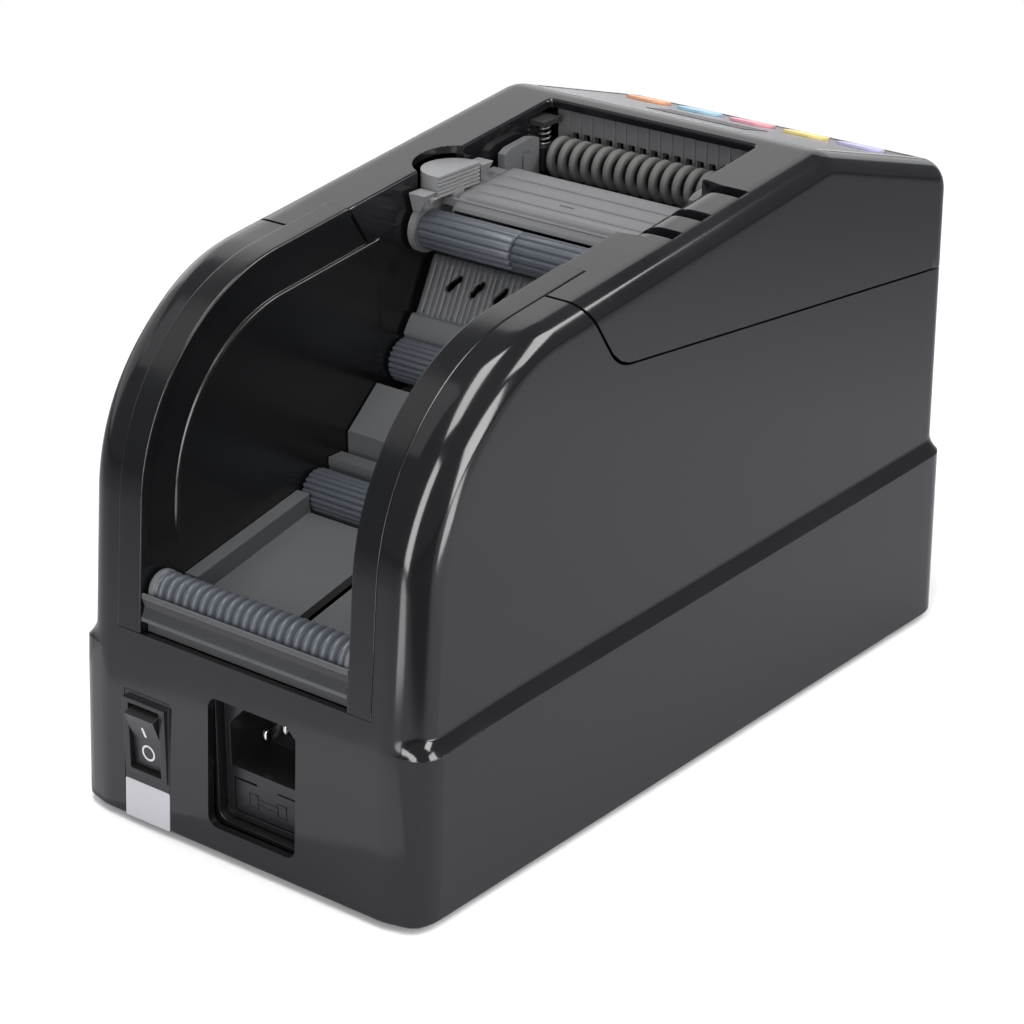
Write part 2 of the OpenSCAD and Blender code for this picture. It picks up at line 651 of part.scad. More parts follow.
guide_half_x = cheek_x - cheek_t - 0.4;
module guide_roller_left() {
  guide_half(0.3, guide_half_x);
}
module guide_roller_right() {
  guide_half(-guide_half_x, -0.3);
}
module guide_axle() {
  color([0.72, 0.72, 0.74]) rod(-cheek_x, cheek_x, guide_axle_d, guide_at[0], guide_at[1]);
}
module latch_knob() {
  color([0.45, 0.46, 0.47]) translate([latch_x, latch_y, latch_base]) {
    difference() {
      intersection() {
        cylinder(r = latch_r, h = latch_h);
        translate([-2, -latch_r, 0]) cube([latch_r + 2, 2 * latch_r, latch_h]);
      }
      for (k = [0:4]) translate([-2.5, -latch_r, 0.7 + k * 1.05]) cube([1, 2 * latch_r, 0.45]);
    }
    translate([-2, -tongue_w / 2, -3]) cube([5, tongue_w, 4]);
  }
}

// Feed: pressure roller with rubber rings above the drive roller
press_at = [-46, ridge_h - 14.9];
drive_at = press_at - [0, ring_d / 2 + nip_gap + drive_d / 2];
shaft_d = 4;
seat_gap = 0.06;
ring_w = ring_pitch - 1;
core_d = 7;
core_x = ring_pitch * ring_count / 2 + 0.6;
chassis_x = bay_x + 1;
chassis_t = 2;
block_x = core_x + 0.5;
block_top = press_at[1] + 2.8;
block_w = 8;
tab_z = ridge_h - 6.1;
module feed_side_plates() {
  color([0.36, 0.37, 0.38]) both_sides() difference() {
    union() {
      along_x(bay_x - 4, bay_x - 1.5) translate([0, ridge_h]) polygon([[-25.6, -24.5], [-25.6, -10.1],
        [-28, -8.9], [-37, -7.9], [-40.8, -8.7], [-40.8, -20.5], [-36, -24.5]]);
      rod(bay_x - 2, chassis_x, 3, -37.5, ridge_h - 20.5);
      rod(bay_x - 2, chassis_x, 2, -32, ridge_h - 22.9);
    }
    // Hook-shaped mark in the face
    along_x(bay_x - 5, bay_x - 3.5) translate([0, ridge_h]) {
      translate([-34, -17]) square([1, 5]);
      translate([-34, -17]) square([3, 1]);
      translate([-36.6, -12.5]) square([3, 1]);
    }
  }
}
module pressure_shaft() {
  color([0.75, 0.75, 0.77]) rod(-chassis_x + 0.3, chassis_x - 0.3, shaft_d, press_at[0], press_at[1]);
}
module pressure_core() {
  color([0.25, 0.25, 0.26]) difference() {
    rod(-core_x, core_x, core_d, press_at[0], press_at[1]);
    rod(-bay_x, bay_x, shaft_d + seat_gap, press_at[0], press_at[1]);
  }
}
module rubber_rings() {
  color([0.3, 0.3, 0.29]) translate([0, press_at[0], press_at[1]]) rotate([0, 90, 0])
    for (k = [0:ring_count - 1]) translate([0, 0, (k - (ring_count - 1) / 2) * ring_pitch])
      rotate_extrude() polygon(concat(
        [[(core_d + seat_gap) / 2, ring_w / 2], [(core_d + seat_gap) / 2, -ring_w / 2]],
        arc_pts([ring_d / 2 - ring_w / 2, 0], ring_w / 2, -90, 90, 6)));
}
module pressure_blocks() {
  color([0.82, 0.8, 0.72]) both_sides() difference() {
    translate([block_x, press_at[0] - block_w / 2, press_at[1] - 4])
      cube([chassis_x - 0.2 - block_x, block_w, block_top - press_at[1] + 4]);
    rod(block_x - 1, bay_x + 3, shaft_d + 0.1, press_at[0], press_at[1]);
  }
}
// Pressure spring: one helical tube, 8 rings a turn, 6 sides
spring_x = (block_x + chassis_x) / 2 - 0.2;
spring_h = tab_z - block_top;
ring_steps = 8;
tube_sides = 6;
spring_rise = (spring_h - spring_wire - 0.1) / spring_turns;
function coil_centre(t) = [spring_d / 2 * cos(t * 360), spring_d / 2 * sin(t * 360), spring_rise * t];
function coil_ring(t) = [for (k = [0:tube_sides - 1])
  let (a = k * 360 / tube_sides, reach = spring_d / 2 + spring_wire / 2 * cos(a))
  [reach * cos(t * 360), reach * sin(t * 360), spring_rise * t + spring_wire / 2 * sin(a)]];
coil_count = round(spring_turns * ring_steps);
coil_gap = min([for (i = [0:coil_count], j = [0:coil_count]) if (j - i >= ring_steps / 2)
  norm(coil_centre(j / ring_steps) - coil_centre(i / ring_steps))]) - spring_wire;
echo(pressure_spring_least_gap = coil_gap);
module coil() {
  n = tube_sides;
  pts = [for (s = [0:coil_count]) each coil_ring(s / ring_steps)];
  far = coil_count * n;
  sides = [for (s = [0:coil_count - 1], k = [0:n - 1]) let (a = s * n + k, b = s * n + (k + 1) % n)
    each [[a, a + n, b + n], [a, b + n, b]]];
  caps = [for (k = [1:n - 2]) each [[0, k, k + 1], [far, far + k + 1, far + k]]];
  polyhedron(pts, concat(sides, caps));
}
module pressure_springs() {
  color([0.5, 0.5, 0.5]) for (s = [-1, 1])
    translate([s * spring_x, press_at[0], block_top + spring_wire / 2 + 0.05]) coil();
}
// Comb in front of the rings
comb_y = press_at[0] - ring_d / 2 - 0.6;
comb_low = press_at[1] + 2.2;
module feed_comb() {
  comb_top = rail_z(comb_y) - wall - 0.2;
  color([0.22, 0.22, 0.23]) difference() {
    union() {
      translate([-bay_x + 1.5, comb_y - 2, comb_low]) cube([2 * bay_x - 3, 2, comb_top - comb_low]);
      for (k = [0:ring_count])
        translate([(k - ring_count / 2) * ring_pitch - 0.4, comb_y - 1.5, comb_low + 2.5])
          cube([0.8, 2.1, comb_top - comb_low - 2.5]);
    }
    for (k = [0:ring_count - 1])
      translate([(k - (ring_count - 1) / 2) * ring_pitch - 1.1, comb_y - 3, comb_low - 1])
        cube([2.2, 4, 4.2]);
  }
}
drive_shaft_d = 6;
drive_x = bay_x - 4.6;
gear_x = -chassis_x - chassis_t - 8;
gear_t = 5;
module drive_roller() {
  color([0.2, 0.2, 0.2]) difference() {
    rod(-drive_x, drive_x, drive_d, drive_at[0], drive_at[1]);
    rod(-bay_x, bay_x, drive_shaft_d + seat_gap, drive_at[0], drive_at[1]);
    for (k = [-7:7]) translate([k * ring_pitch, drive_at[0], drive_at[1]]) rotate([0, 90, 0])
      rotate_extrude() translate([drive_d / 2, 0]) square([1, 0.8], center = true);
  }
}
module drive_shaft() {
  color([0.72, 0.72, 0.74])
    rod(gear_x - 1, chassis_x + chassis_t + 1, drive_shaft_d, drive_at[0], drive_at[1]);
}
bush_d = 10;
module drive_bushes() {
  color([0.75, 0.6, 0.3]) both_sides() difference() {
    union() {
      rod(chassis_x, chassis_x + chassis_t, bush_d, drive_at[0], drive_at[1]);
      rod(chassis_x - 1.2, chassis_x, bush_d + 3, drive_at[0], drive_at[1]);
    }
    rod(bay_x - 5, bay_x + 10, drive_shaft_d + 0.1, drive_at[0], drive_at[1]);
  }
}

// Gear train: involute flanks with backlash, a tooth of one gear meeting a space of the next
pressure_angle = 20;
backlash = 0.12;
function inv(a) = tan(a) * 180 / PI - a;
function tooth_half(teeth, r) =
  let (rp = gear_m * teeth / 2, rb = rp * cos(pressure_angle), a = acos(min(1, rb / max(r, rb))))
  90 / teeth + inv(pressure_angle) - inv(a) - backlash / rp * 180 / PI;
function gear_pts(teeth) =
  let (rp = gear_m * teeth / 2, radii = [for (h = [-1.15, -0.4, 0, 0.45, 0.85]) rp + h * gear_m])
  [for (k = [0:teeth - 1], i = [-5:5]) if (i != 0)
    let (r = radii[5 - abs(i)], a = k * 360 / teeth + sign(i) * tooth_half(teeth, r)) r * [cos(a), sin(a)]];
module gear(teeth, at, phase, bore) {
  translate([gear_x, at[0], at[1]]) rotate([90, 0, 90]) linear_extrude(gear_t) difference() {
    rotate(phase) polygon(gear_pts(teeth));
    circle(d = bore);
  }
}
idler_reach = gear_m * (drive_teeth + idler_teeth) / 2 + 0.1;
pinion_reach = gear_m * (pinion_teeth + idler_teeth) / 2 + 0.1;
idler_dir = -94;
pinion_dir = -105;
idler_at = drive_at + idler_reach * [cos(idler_dir), sin(idler_dir)];
pinion_at = idler_at + pinion_reach * [cos(pinion_dir), sin(pinion_dir)];
idler_phase = idler_dir + 180;
idler_step = 360 / idler_teeth;
idler_slip = (pinion_dir - idler_phase) - idler_step * floor((pinion_dir - idler_phase) / idler_step);
pinion_phase = pinion_dir + 180 + 180 / pinion_teeth + idler_slip * idler_teeth / pinion_teeth;
idler_pin_d = 5;
pinion_shaft_d = 3;
module drive_gear() {
  color([0.85, 0.84, 0.8])
    gear(drive_teeth, drive_at, idler_dir + 180 / drive_teeth, drive_shaft_d + seat_gap);
}
module idler_gear() {
  color([0.85, 0.84, 0.8]) difference() {
    gear(idler_teeth, idler_at, idler_phase, idler_pin_d + 0.1);
    for (a = [0:60:300]) translate([gear_x - 1, idler_at[0], idler_at[1]]) rotate([a, 0, 0])
      translate([0, gear_m * idler_teeth * 0.3, 0]) rotate([0, 90, 0]) cylinder(d = gear_m * 9, h = 10);
  }
}
module idler_pin() {
  color([0.72, 0.72, 0.74]) rod(gear_x - 1, -chassis_x, idler_pin_d, idler_at[0], idler_at[1]);
}
motor_d = 28;
motor_l = 46;
module motor_pinion() {
  color([0.8, 0.65, 0.35]) union() {
    gear(pinion_teeth, pinion_at, pinion_phase, pinion_shaft_d - 0.5);
    rod(gear_x, -chassis_x + 6, pinion_shaft_d, pinion_at[0], pinion_at[1]);
  }
}
module feed_motor() {
  color([0.62, 0.63, 0.65]) difference() {
    union() {
      rod(-chassis_x, -chassis_x + motor_l, motor_d, pinion_at[0], pinion_at[1]);
      rod(-chassis_x - chassis_t + 0.2, -chassis_x, 10, pinion_at[0], pinion_at[1]);
      rod(-chassis_x + motor_l, -chassis_x + motor_l + 3, 10, pinion_at[0], pinion_at[1]);
    }
    rod(-chassis_x - 10, -chassis_x + 7, pinion_shaft_d + 0.1, pinion_at[0], pinion_at[1]);
  }
}

// Chassis plates carry the feed and the cutter
chassis_front = front_y + 9.5;
chassis_back = -15;
chassis_top = rail_z(bar_y) - skirt - 3.5;
function chassis_outline() = [[chassis_back, plate_top], [chassis_back, ridge_h - 29.5], [-27, chassis_top - 8],
  [-41.5, chassis_top], [-41.5, tab_z + 1.4], [-50.5, tab_z + 1.4], [-50.5, chassis_top - 2],
  [-62, ridge_h - 21.5], [chassis_front, nose_v[1] - 12.3], [chassis_front, plate_top]];
module chassis() {
  difference() {
    union() {
      along_x(chassis_x, chassis_x + chassis_t) polygon(chassis_outline());
      translate([block_x, press_at[0] - block_w / 2, tab_z])
        cube([chassis_x + chassis_t - block_x, block_w, 1.4]);
      translate([chassis_x, chassis_front, plate_top]) cube([10, chassis_back - chassis_front, 1.6]);
    }
    rod(bay_x, bay_x + 10, bush_d + seat_gap, drive_at[0], drive_at[1]);
    rod(bay_x, bay_x + 10, shaft_d + 1, press_at[0], press_at[1]);
    for (y = [-32, chassis_front + 21]) along_x(bay_x, bay_x + 10) translate([y, 33]) circle(d = 24);
  }
}
module chassis_left() {
  color([0.66, 0.67, 0.69]) chassis();
}
module chassis_right() {
  color([0.66, 0.67, 0.69]) difference() {
    mirror([1, 0, 0]) chassis();
    rod(-bay_x - 10, -bay_x, idler_pin_d + seat_gap, idler_at[0], idler_at[1]);
    rod(-bay_x - 10, -bay_x, 10.2, pinion_at[0], pinion_at[1]);
  }
}
module tie_rods() {
  color([0.72, 0.72, 0.74]) for (c = [[-22, 14], [chassis_front + 7, 14], [-22, ridge_h - 39.5]])
    rod(-chassis_x, chassis_x, 5, c[0], c[1]);
}

// Cutter: crank with a pin in the slot of a sliding carrier, moving blade against a fixed one
cut_y = front_y + 17.3;
cut_z = nose_v[1] - 12.34;
crank_r = blade_stroke / 2;
crank_at = [0, cut_z - 29];
crank_pin_d = 3.5;
carrier_t = 3;
carrier_y = cut_y + blade_gap / 2 + blade_t;
carrier_x = bay_x - 2.5;
slot_play = 1.2;
bracket_y = carrier_y + carrier_t + 7.5;
crank_y = carrier_y + carrier_t + 1;
module cutter_bracket() {
  color([0.66, 0.67, 0.69]) difference() {
    translate([-chassis_x, bracket_y, crank_at[1] - 19]) cube([2 * chassis_x, 2, 32]);
    translate([crank_at[0], bracket_y - 1, crank_at[1]]) rotate([-90, 0, 0]) cylinder(d = 10, h = 5);
  }
}
module cutter_motor() {
  color([0.62, 0.63, 0.65]) translate([crank_at[0], bracket_y + 2, crank_at[1]]) rotate([-90, 0, 0])
    difference() {
      union() {
        cylinder(d = 25, h = 38);
        translate([0, 0, -1.8]) cylinder(d = 9.8, h = 2);
        translate([0, 0, 38]) cylinder(d = 9, h = 3);
      }
      translate([0, 0, -4]) cylinder(d = 4.1, h = 12);
    }
}
module crank_disc() {
  color([0.5, 0.5, 0.52]) translate([crank_at[0], crank_y, crank_at[1]]) rotate([-90, 0, 0]) {
    cylinder(r = crank_r + 8, h = 5);
    cylinder(d = 4, h = bracket_y - crank_y + 9);
    translate([0, crank_r, -carrier_t - 1.5]) cylinder(d = crank_pin_d, h = carrier_t + 2);
  }
}
module blade_carrier() {
  pin_z = crank_at[1] - crank_r;
  color([0.82, 0.8, 0.72]) difference() {
    translate([-carrier_x, carrier_y, pin_z - 8]) cube([2 * carrier_x, carrier_t, 30]);
    translate([-crank_r - crank_pin_d / 2 - 0.5, carrier_y - 1, pin_z - crank_pin_d / 2 - slot_play])
      cube([2 * crank_r + crank_pin_d + 1, carrier_t + 2, crank_pin_d + 2 * slot_play]);
  }
}
blade_x = bay_x - 7;
module moving_blade() {
  edge = cut_z - blade_stroke + 1;
  color([0.8, 0.81, 0.83]) along_y(carrier_y - blade_t, carrier_y)
    polygon([[-blade_x, edge - 20], [blade_x, edge - 20], [blade_x, edge], [-blade_x, edge - 2.5]]);
}
module blade_guides() {
  guide_x = carrier_x - 2.5;
  color([0.2, 0.2, 0.21]) both_sides() difference() {
    translate([guide_x, carrier_y - 2.6, crank_at[1] - 18]) cube([chassis_x - guide_x, carrier_t + 5.2, 44]);
    translate([guide_x - 1, carrier_y - 0.2, crank_at[1] - 20])
      cube([carrier_x - guide_x + 1.3, carrier_t + 0.4, 48]);
  }
}
module fixed_blade() {
  back = cut_y - blade_gap / 2;
  color([0.8, 0.81, 0.83]) along_y(back - blade_t, back)
    polygon([[-blade_x, cut_z], [blade_x, cut_z], [blade_x, cut_z + 7], [-blade_x, cut_z + 7]]);
}
module blade_bar() {
  back = cut_y - blade_gap / 2 - blade_t;
  color([0.66, 0.67, 0.69]) translate([-chassis_x, back - 4, cut_z - 2.5]) difference() {
    cube([2 * chassis_x, 4, 10]);
    translate([chassis_x - blade_x - 2, -1, -1]) cube([2 * blade_x + 4, 6, 3]);
  }
}
module outlet_tray() {
  low = outlet_z - outlet_h / 2 + 0.4;
  color([0.14, 0.14, 0.15]) {
    along_x(-outlet_w / 2 + 0.6, outlet_w / 2 - 0.6) polygon([[-rear_reach, low], [cut_y - 4.5, low],
      [cut_y - 4.5, low + 2], [1 - rear_reach, low + 1.4], [-rear_reach, low + 0.8]]);
    along_x(-outlet_w / 2 + 0.6, outlet_w / 2 - 0.6) polygon([[front_y + wall + 0.2, low - 9],
      [front_y + wall + 2.2, low - 9], [front_y + wall + 2.2, low + 1], [front_y + wall + 0.2, low + 1]]);
  }
}

// Key panel: film, display window, keys and the board under them
window_x = 17;
window_y0 = -16;
window_y1 = -28;
key_colours = [[0.9, 0.62, 0.38], [0.62, 0.8, 0.9], [0.9, 0.5, 0.55],
  [0.95, 0.85, 0.4], [0.75, 0.75, 0.88]];
module control_overlay() {
  color([0.05, 0.05, 0.055]) on_panel() translate([0, 0, -film_pocket]) linear_extrude(film_t) difference() {
    translate([-film_x, film_y1]) square([2 * film_x, film_y0 - film_y1]);
    key_places() key_outline(0.3);
    translate([-window_x, window_y1]) square([2 * window_x, window_y0 - window_y1]);
  }
}
module display_window() {
  color([0.12, 0.05, 0.05]) on_panel() translate([-window_x + 0.1, window_y1 + 0.1, -film_pocket])
    cube([2 * window_x - 0.2, window_y0 - window_y1 - 0.2, film_t + 0.1]);
}
board_depth = 7;
module key(k) {
  color(key_colours[k]) on_panel() translate([(2 - k) * key_pitch, keys_y, -wall - 0.6])
    linear_extrude(wall + 0.6 + key_travel) key_outline(0);
}
module key_1() {
  key(0);
}
module key_2() {
  key(1);
}
module key_3() {
  key(2);
}
module key_4() {
  key(3);
}
module key_5() {
  key(4);
}
module control_board() {
  color([0.1, 0.35, 0.2]) on_panel() {
    translate([-film_x + 4, film_y1 + 2, -board_depth]) cube([2 * film_x - 8, film_y0 - film_y1 - 6, 1.6]);
    key_places() translate([-3, -3, -board_depth + 1.5])
      cube([6, 6, board_depth - 1.5 - wall - 0.6 - key_travel - 0.1]);
    for (x = [-1, 1], y = [film_y1 + 3.9, film_y0 - 8]) translate([x * key_pitch * 1.5, y, -board_depth + 1.5])
      cylinder(d = 3.6, h = board_depth - 1.5 - wall);
  }
}

// Switch strip with the bezel, and the rocker that tilts in it
rocker_z = 26;
bezel_out = 1;
strip_y = rear_y(rocker_z);
rocker_r = 9;
rocker_w = 10.3;
rocker_y = strip_y - 2.4;
bezel_w = 15;
bezel_h = 21.4;
module switch_strip() {
  color([0.12, 0.12, 0.13]) difference() {
    union() {
      along_x(strip_panel_x - strip_panel_w / 2, strip_panel_x + strip_panel_w / 2)
        polygon([[rear_y(foot_h) - wall, foot_h], [rear_y(foot_h), foot_h],
                 [rear_y(strip_panel_top), strip_panel_top],
                 [rear_y(strip_panel_top) - wall, strip_panel_top]]);
      // Bezel and body of the switch
      translate([strip_panel_x - bezel_w / 2, strip_y - 14, rocker_z - bezel_h / 2])
        cube([bezel_w, 14 + bezel_out, bezel_h]);
    }
    along_x(strip_panel_x - rocker_w / 2 - 0.3, strip_panel_x + rocker_w / 2 + 0.3)
      translate([strip_y - 11.5, rocker_z - rocker_r - 0.4]) square([30, 2 * rocker_r + 0.8]);
    rod(strip_panel_x - pivot_x - 0.2, strip_panel_x + pivot_x + 0.2, pivot_d + 0.1, rocker_y, rocker_z);
  }
}
pivot_d = 2;
pivot_x = rocker_w / 2 + 1.3;
rocker_lip = 3.6;
function rocker_face() = [[-7, -4], [-1.5, -rocker_r + 0.14], [rocker_lip, -rocker_r + 0.76], [2.4, 0],
  [rocker_lip, rocker_r - 0.76], [-1.5, rocker_r - 0.14], [-7, 4]];
// How far the upper edge of the rocker stands out at the rear; the outlet lip reaches as far in front
rear_reach = rocker_y + rocker_lip * cos(rocker_tilt) + (rocker_r - 0.76) * sin(rocker_tilt);
module switch_rocker() {
  color([0.06, 0.06, 0.07]) translate([strip_panel_x, rocker_y, rocker_z]) rotate([-rocker_tilt, 0, 0]) {
    along_x(-rocker_w / 2, rocker_w / 2) polygon(rocker_face());
    rod(-pivot_x, pivot_x, pivot_d, 0, 0);
  }
}

// Appliance inlet with a fuse drawer, set back in its window
inlet_face = rear_y(inlet_z) - wall - 3.2;
socket_w = 24.5;
socket_h = 17;
socket_z = inlet_z + 6;
socket_depth = 15.5;
function socket_outline() = let (w = socket_w / 2, h = socket_h / 2, c = 5)
  [[-w, -h], [w, -h], [w, h - c], [w - c, h], [c - w, h], [-w, h - c]];
module inlet_socket() {
  color([0.07, 0.07, 0.08]) difference() {
    union() {
      along_y(inlet_face - 18, inlet_face) translate([inlet_x, inlet_z])
        polygon(round_rect(inlet_w / 2 - 0.8, inlet_h / 2 - 0.6, 2));
      along_y(inlet_face - 6, inlet_face + 2) translate([inlet_x, inlet_z]) difference() {
        polygon(round_rect(inlet_w / 2 + 3, inlet_h / 2 + 1.5, 2));
        polygon(round_rect(inlet_w / 2 + 0.2, inlet_h / 2 + 0.2, 3));
      }
      along_y(inlet_face - 6, inlet_face - 4) translate([inlet_x, inlet_z])
        polygon(round_rect(inlet_w / 2 + 3, inlet_h / 2 + 1.5, 2));
    }
    along_y(inlet_face - socket_depth, inlet_face + 1) translate([inlet_x, socket_z]) polygon(socket_outline());
    // Outline and finger notch of the fuse drawer
    along_y(inlet_face - 1, inlet_face + 1) translate([inlet_x, inlet_z - 10.6]) difference() {
      square([23, 10], center = true);
      square([22.2, 9.2], center = true);
      translate([0, 5]) square([7, 3], center = true);
    }
  }
}
module inlet_pins() {
  color([0.85, 0.84, 0.8]) for (p = [[-7, -1.5], [7, -1.5], [0, 2.5]])
    translate([inlet_x + p[0] - 1, inlet_face - socket_depth, socket_z + p[1] - 2])
      cube([2, socket_depth - 4, 4]);
}
module power_board() {
  color([0.1, 0.35, 0.2]) {
    translate([-46, half_l - 87, plate_top + 4]) cube([64, 56, 1.6]);
    for (x = [-43, 15], y = [84, 34]) translate([x, half_l - y, plate_top]) cylinder(d = 5, h = 4.5);
    translate([-38, half_l - 79, plate_top + 5]) cube([24, 26, 20]);
    translate([-2, half_l - 47, plate_top + 5]) cylinder(d = 14, h = 22);
    translate([2, half_l - 75, plate_top + 5]) cube([12, 18, 12]);
  }
}

main_housing();
top_cover();
base_plate();
rubber_feet();
base_screws();
bay_wall_left();
bay_wall_right();
bay_tray();
slotted_plate();
rear_roller();
rear_axle();
lower_roller();
lower_axle();
upper_roller();
upper_axle();
guide_frame();
guide_roller_left();
guide_roller_right();
guide_axle();
latch_knob();
feed_side_plates();
feed_comb();
pressure_shaft();
pressure_core();
rubber_rings();
pressure_blocks();
pressure_springs();
drive_roller();
drive_shaft();
drive_bushes();
drive_gear();
idler_gear();
idler_pin();
motor_pinion();
feed_motor();
chassis_left();
chassis_right();
tie_rods();
cutter_bracket();
cutter_motor();
crank_disc();
blade_carrier();
moving_blade();
blade_guides();
fixed_blade();
blade_bar();
outlet_tray();
control_overlay();
display_window();
key_1();
key_2();
key_3();
key_4();
key_5();
control_board();
switch_strip();
switch_rocker();
inlet_socket();
inlet_pins();
power_board();
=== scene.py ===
# %% [markdown]
# # An electric tape dispenser
# The machine is a dark moulded shell round an open bay. The shell is one swept edge: it climbs two legs,
# bends over two arches and runs along two rails to a key panel. The CAD parts fix every place and joint;
# this file dresses them with smooth surfaces worked out as arrays, and with finishes made of nodes.

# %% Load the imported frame
import json
import math

import bmesh
import bpy
import mathutils
import numpy as np
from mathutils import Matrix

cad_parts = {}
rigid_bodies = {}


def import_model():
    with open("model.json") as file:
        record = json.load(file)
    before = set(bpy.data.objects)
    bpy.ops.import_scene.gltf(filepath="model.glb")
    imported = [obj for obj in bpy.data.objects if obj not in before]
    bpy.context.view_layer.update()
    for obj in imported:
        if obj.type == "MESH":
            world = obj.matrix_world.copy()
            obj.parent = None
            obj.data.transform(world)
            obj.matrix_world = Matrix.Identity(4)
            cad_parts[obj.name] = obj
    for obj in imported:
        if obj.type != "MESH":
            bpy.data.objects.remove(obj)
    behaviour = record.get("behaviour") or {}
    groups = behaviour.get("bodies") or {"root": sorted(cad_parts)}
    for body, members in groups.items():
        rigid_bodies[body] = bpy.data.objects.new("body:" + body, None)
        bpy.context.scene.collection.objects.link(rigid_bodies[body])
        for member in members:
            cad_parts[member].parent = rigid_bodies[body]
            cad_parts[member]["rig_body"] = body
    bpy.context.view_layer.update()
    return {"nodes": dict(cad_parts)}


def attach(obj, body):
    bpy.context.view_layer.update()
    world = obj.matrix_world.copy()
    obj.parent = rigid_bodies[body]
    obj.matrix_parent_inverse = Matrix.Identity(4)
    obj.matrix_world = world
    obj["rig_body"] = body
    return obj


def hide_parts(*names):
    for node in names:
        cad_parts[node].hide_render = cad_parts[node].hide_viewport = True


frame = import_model()
nodes = frame["nodes"]
scene = bpy.context.scene
scene.view_settings.view_transform = "Standard"

# %% [markdown]
# ## Tools for sheets
# A surface is a grid of points: rows run one way, columns the other. A few small tools turn such grids into
# a mesh, join sheets where their rims meet, give a sheet its wall and soften its edges. Sizes are written in
# millimetres, as on a drawing, and become metres at the last step.

# %% From arrays to a mesh
MM, SAME_PLACE, NO_LENGTH = 0.001, 2e-6, 1e-7
CREASE, CAD_CREASE = 35, 30


def ease(t, low, high):
    """Smooth step: 0 up to low, 1 from high on, and 3u^2 - 2u^3 between, u being the share of the way."""
    u = np.clip((np.asarray(t, float) - low) / (high - low), 0, 1)
    return u * u * (3 - 2 * u)


def quarter(n):
    """Angles over a quarter turn, both ends counted."""
    return np.linspace(0, np.pi / 2, n)


def circle(n):
    """Angles all round, the end left out because it is the start."""
    return np.linspace(0, 2 * np.pi, n, endpoint=False)


def grid(points, flip=False, loop=False):
    """Four-sided faces between neighbouring rows and columns; loop joins the last row to the first."""
    points = np.asarray(points, float)
    rows, columns = points.shape[:2]
    i, j = np.meshgrid(np.arange(rows if loop else rows - 1), np.arange(columns - 1), indexing="ij")
    a, b = i * columns, (i + 1) % rows * columns
    quads = np.stack([a + j, b + j, b + j + 1, a + j + 1], -1).reshape(-1, 4)
    return points.reshape(-1, 3), quads[:, ::-1] if flip else quads


def mirrored(patch):
    """The same sheet on the other side of the middle: x changes its sign and the faces turn round."""
    points, faces = patch
    return points * [-1, 1, 1], faces[:, ::-1]


def capped(rings):
    """A closed body: outlines one after another, with a middle point at each end."""
    ends = [np.broadcast_to(rings[k].mean(0), rings[k].shape) for k in (0, -1)]
    return grid(np.stack([ends[0], *rings, ends[1]], 1), loop=True)


def rows_between(x, a, b, shares):
    """Rows at some shares of the way from row a to row b; a and b hold y and z, and x goes in front."""
    yz = a + (b - a) * shares[:, None, None]
    return np.dstack([np.broadcast_to(x, yz.shape[:2]), yz])


def mended(mesh, flat=0, turn_out=False):
    """Joins points that lie together, then drops empty faces or, for a CAD mesh, joins those within flat degrees."""
    work = bmesh.new()
    work.from_mesh(mesh)
    bmesh.ops.remove_doubles(work, verts=work.verts, dist=SAME_PLACE)
    if flat:
        bmesh.ops.dissolve_limit(work, angle_limit=math.radians(flat), verts=work.verts, edges=work.edges)
    else:
        bmesh.ops.dissolve_degenerate(work, edges=work.edges, dist=NO_LENGTH)
    if turn_out:
        bmesh.ops.recalc_face_normals(work, faces=work.faces)
    work.to_mesh(mesh)
    work.free()
    mesh.shade_smooth()
    return mesh


def mesh_of(name, patches, turn_out=False):
    """One mesh of several sheets, in metres, with rims that lie together joined into one."""
    points, faces, count = [], [], 0
    for p, f in patches:
        points.append(p)
        faces += (f + count).tolist()
        count += len(p)
    mesh = bpy.data.meshes.new(name)
    mesh.from_pydata((np.concatenate(points) * MM).tolist(), [], faces)
    return mended(mesh, turn_out=turn_out)


def placed(name, data):
    """A new object, put into the scene."""
    obj = bpy.data.objects.new(name, data)
    scene.collection.objects.link(obj)
    return obj


def settle(obj):
    """Replaces the mesh by what its modifiers make of it."""
    graph = bpy.context.evaluated_depsgraph_get()
    mesh = bpy.data.meshes.new_from_object(obj.evaluated_get(graph), depsgraph=graph)
    old, obj.data = obj.data, mesh
    obj.modifiers.clear()
    bpy.data.meshes.remove(old)


def soften(obj, width, limit):
    """Rounds the edges that turn by more than limit degrees, and keeps the flat faces flat."""
    bevel = obj.modifiers.new("soft edges", "BEVEL")
    bevel.width, bevel.segments = width * MM, 2
    bevel.limit_method, bevel.angle_limit = "ANGLE", math.radians(limit)
    bevel.miter_outer = "MITER_ARC"
    level = obj.modifiers.new("flat faces", "WEIGHTED_NORMAL")
    level.keep_sharp, level.weight = True, 60


def cut(obj, *shapes):
    """Takes closed shapes out of a piece."""
    for shape in shapes:
        tool = placed("cutter", mesh_of("cutter", [shape], turn_out=True))
        hole = obj.modifiers.new("hole", "BOOLEAN")
        hole.operation, hole.solver, hole.object = "DIFFERENCE", "MANIFOLD", tool
        settle(obj)
        bpy.data.objects.remove(tool)


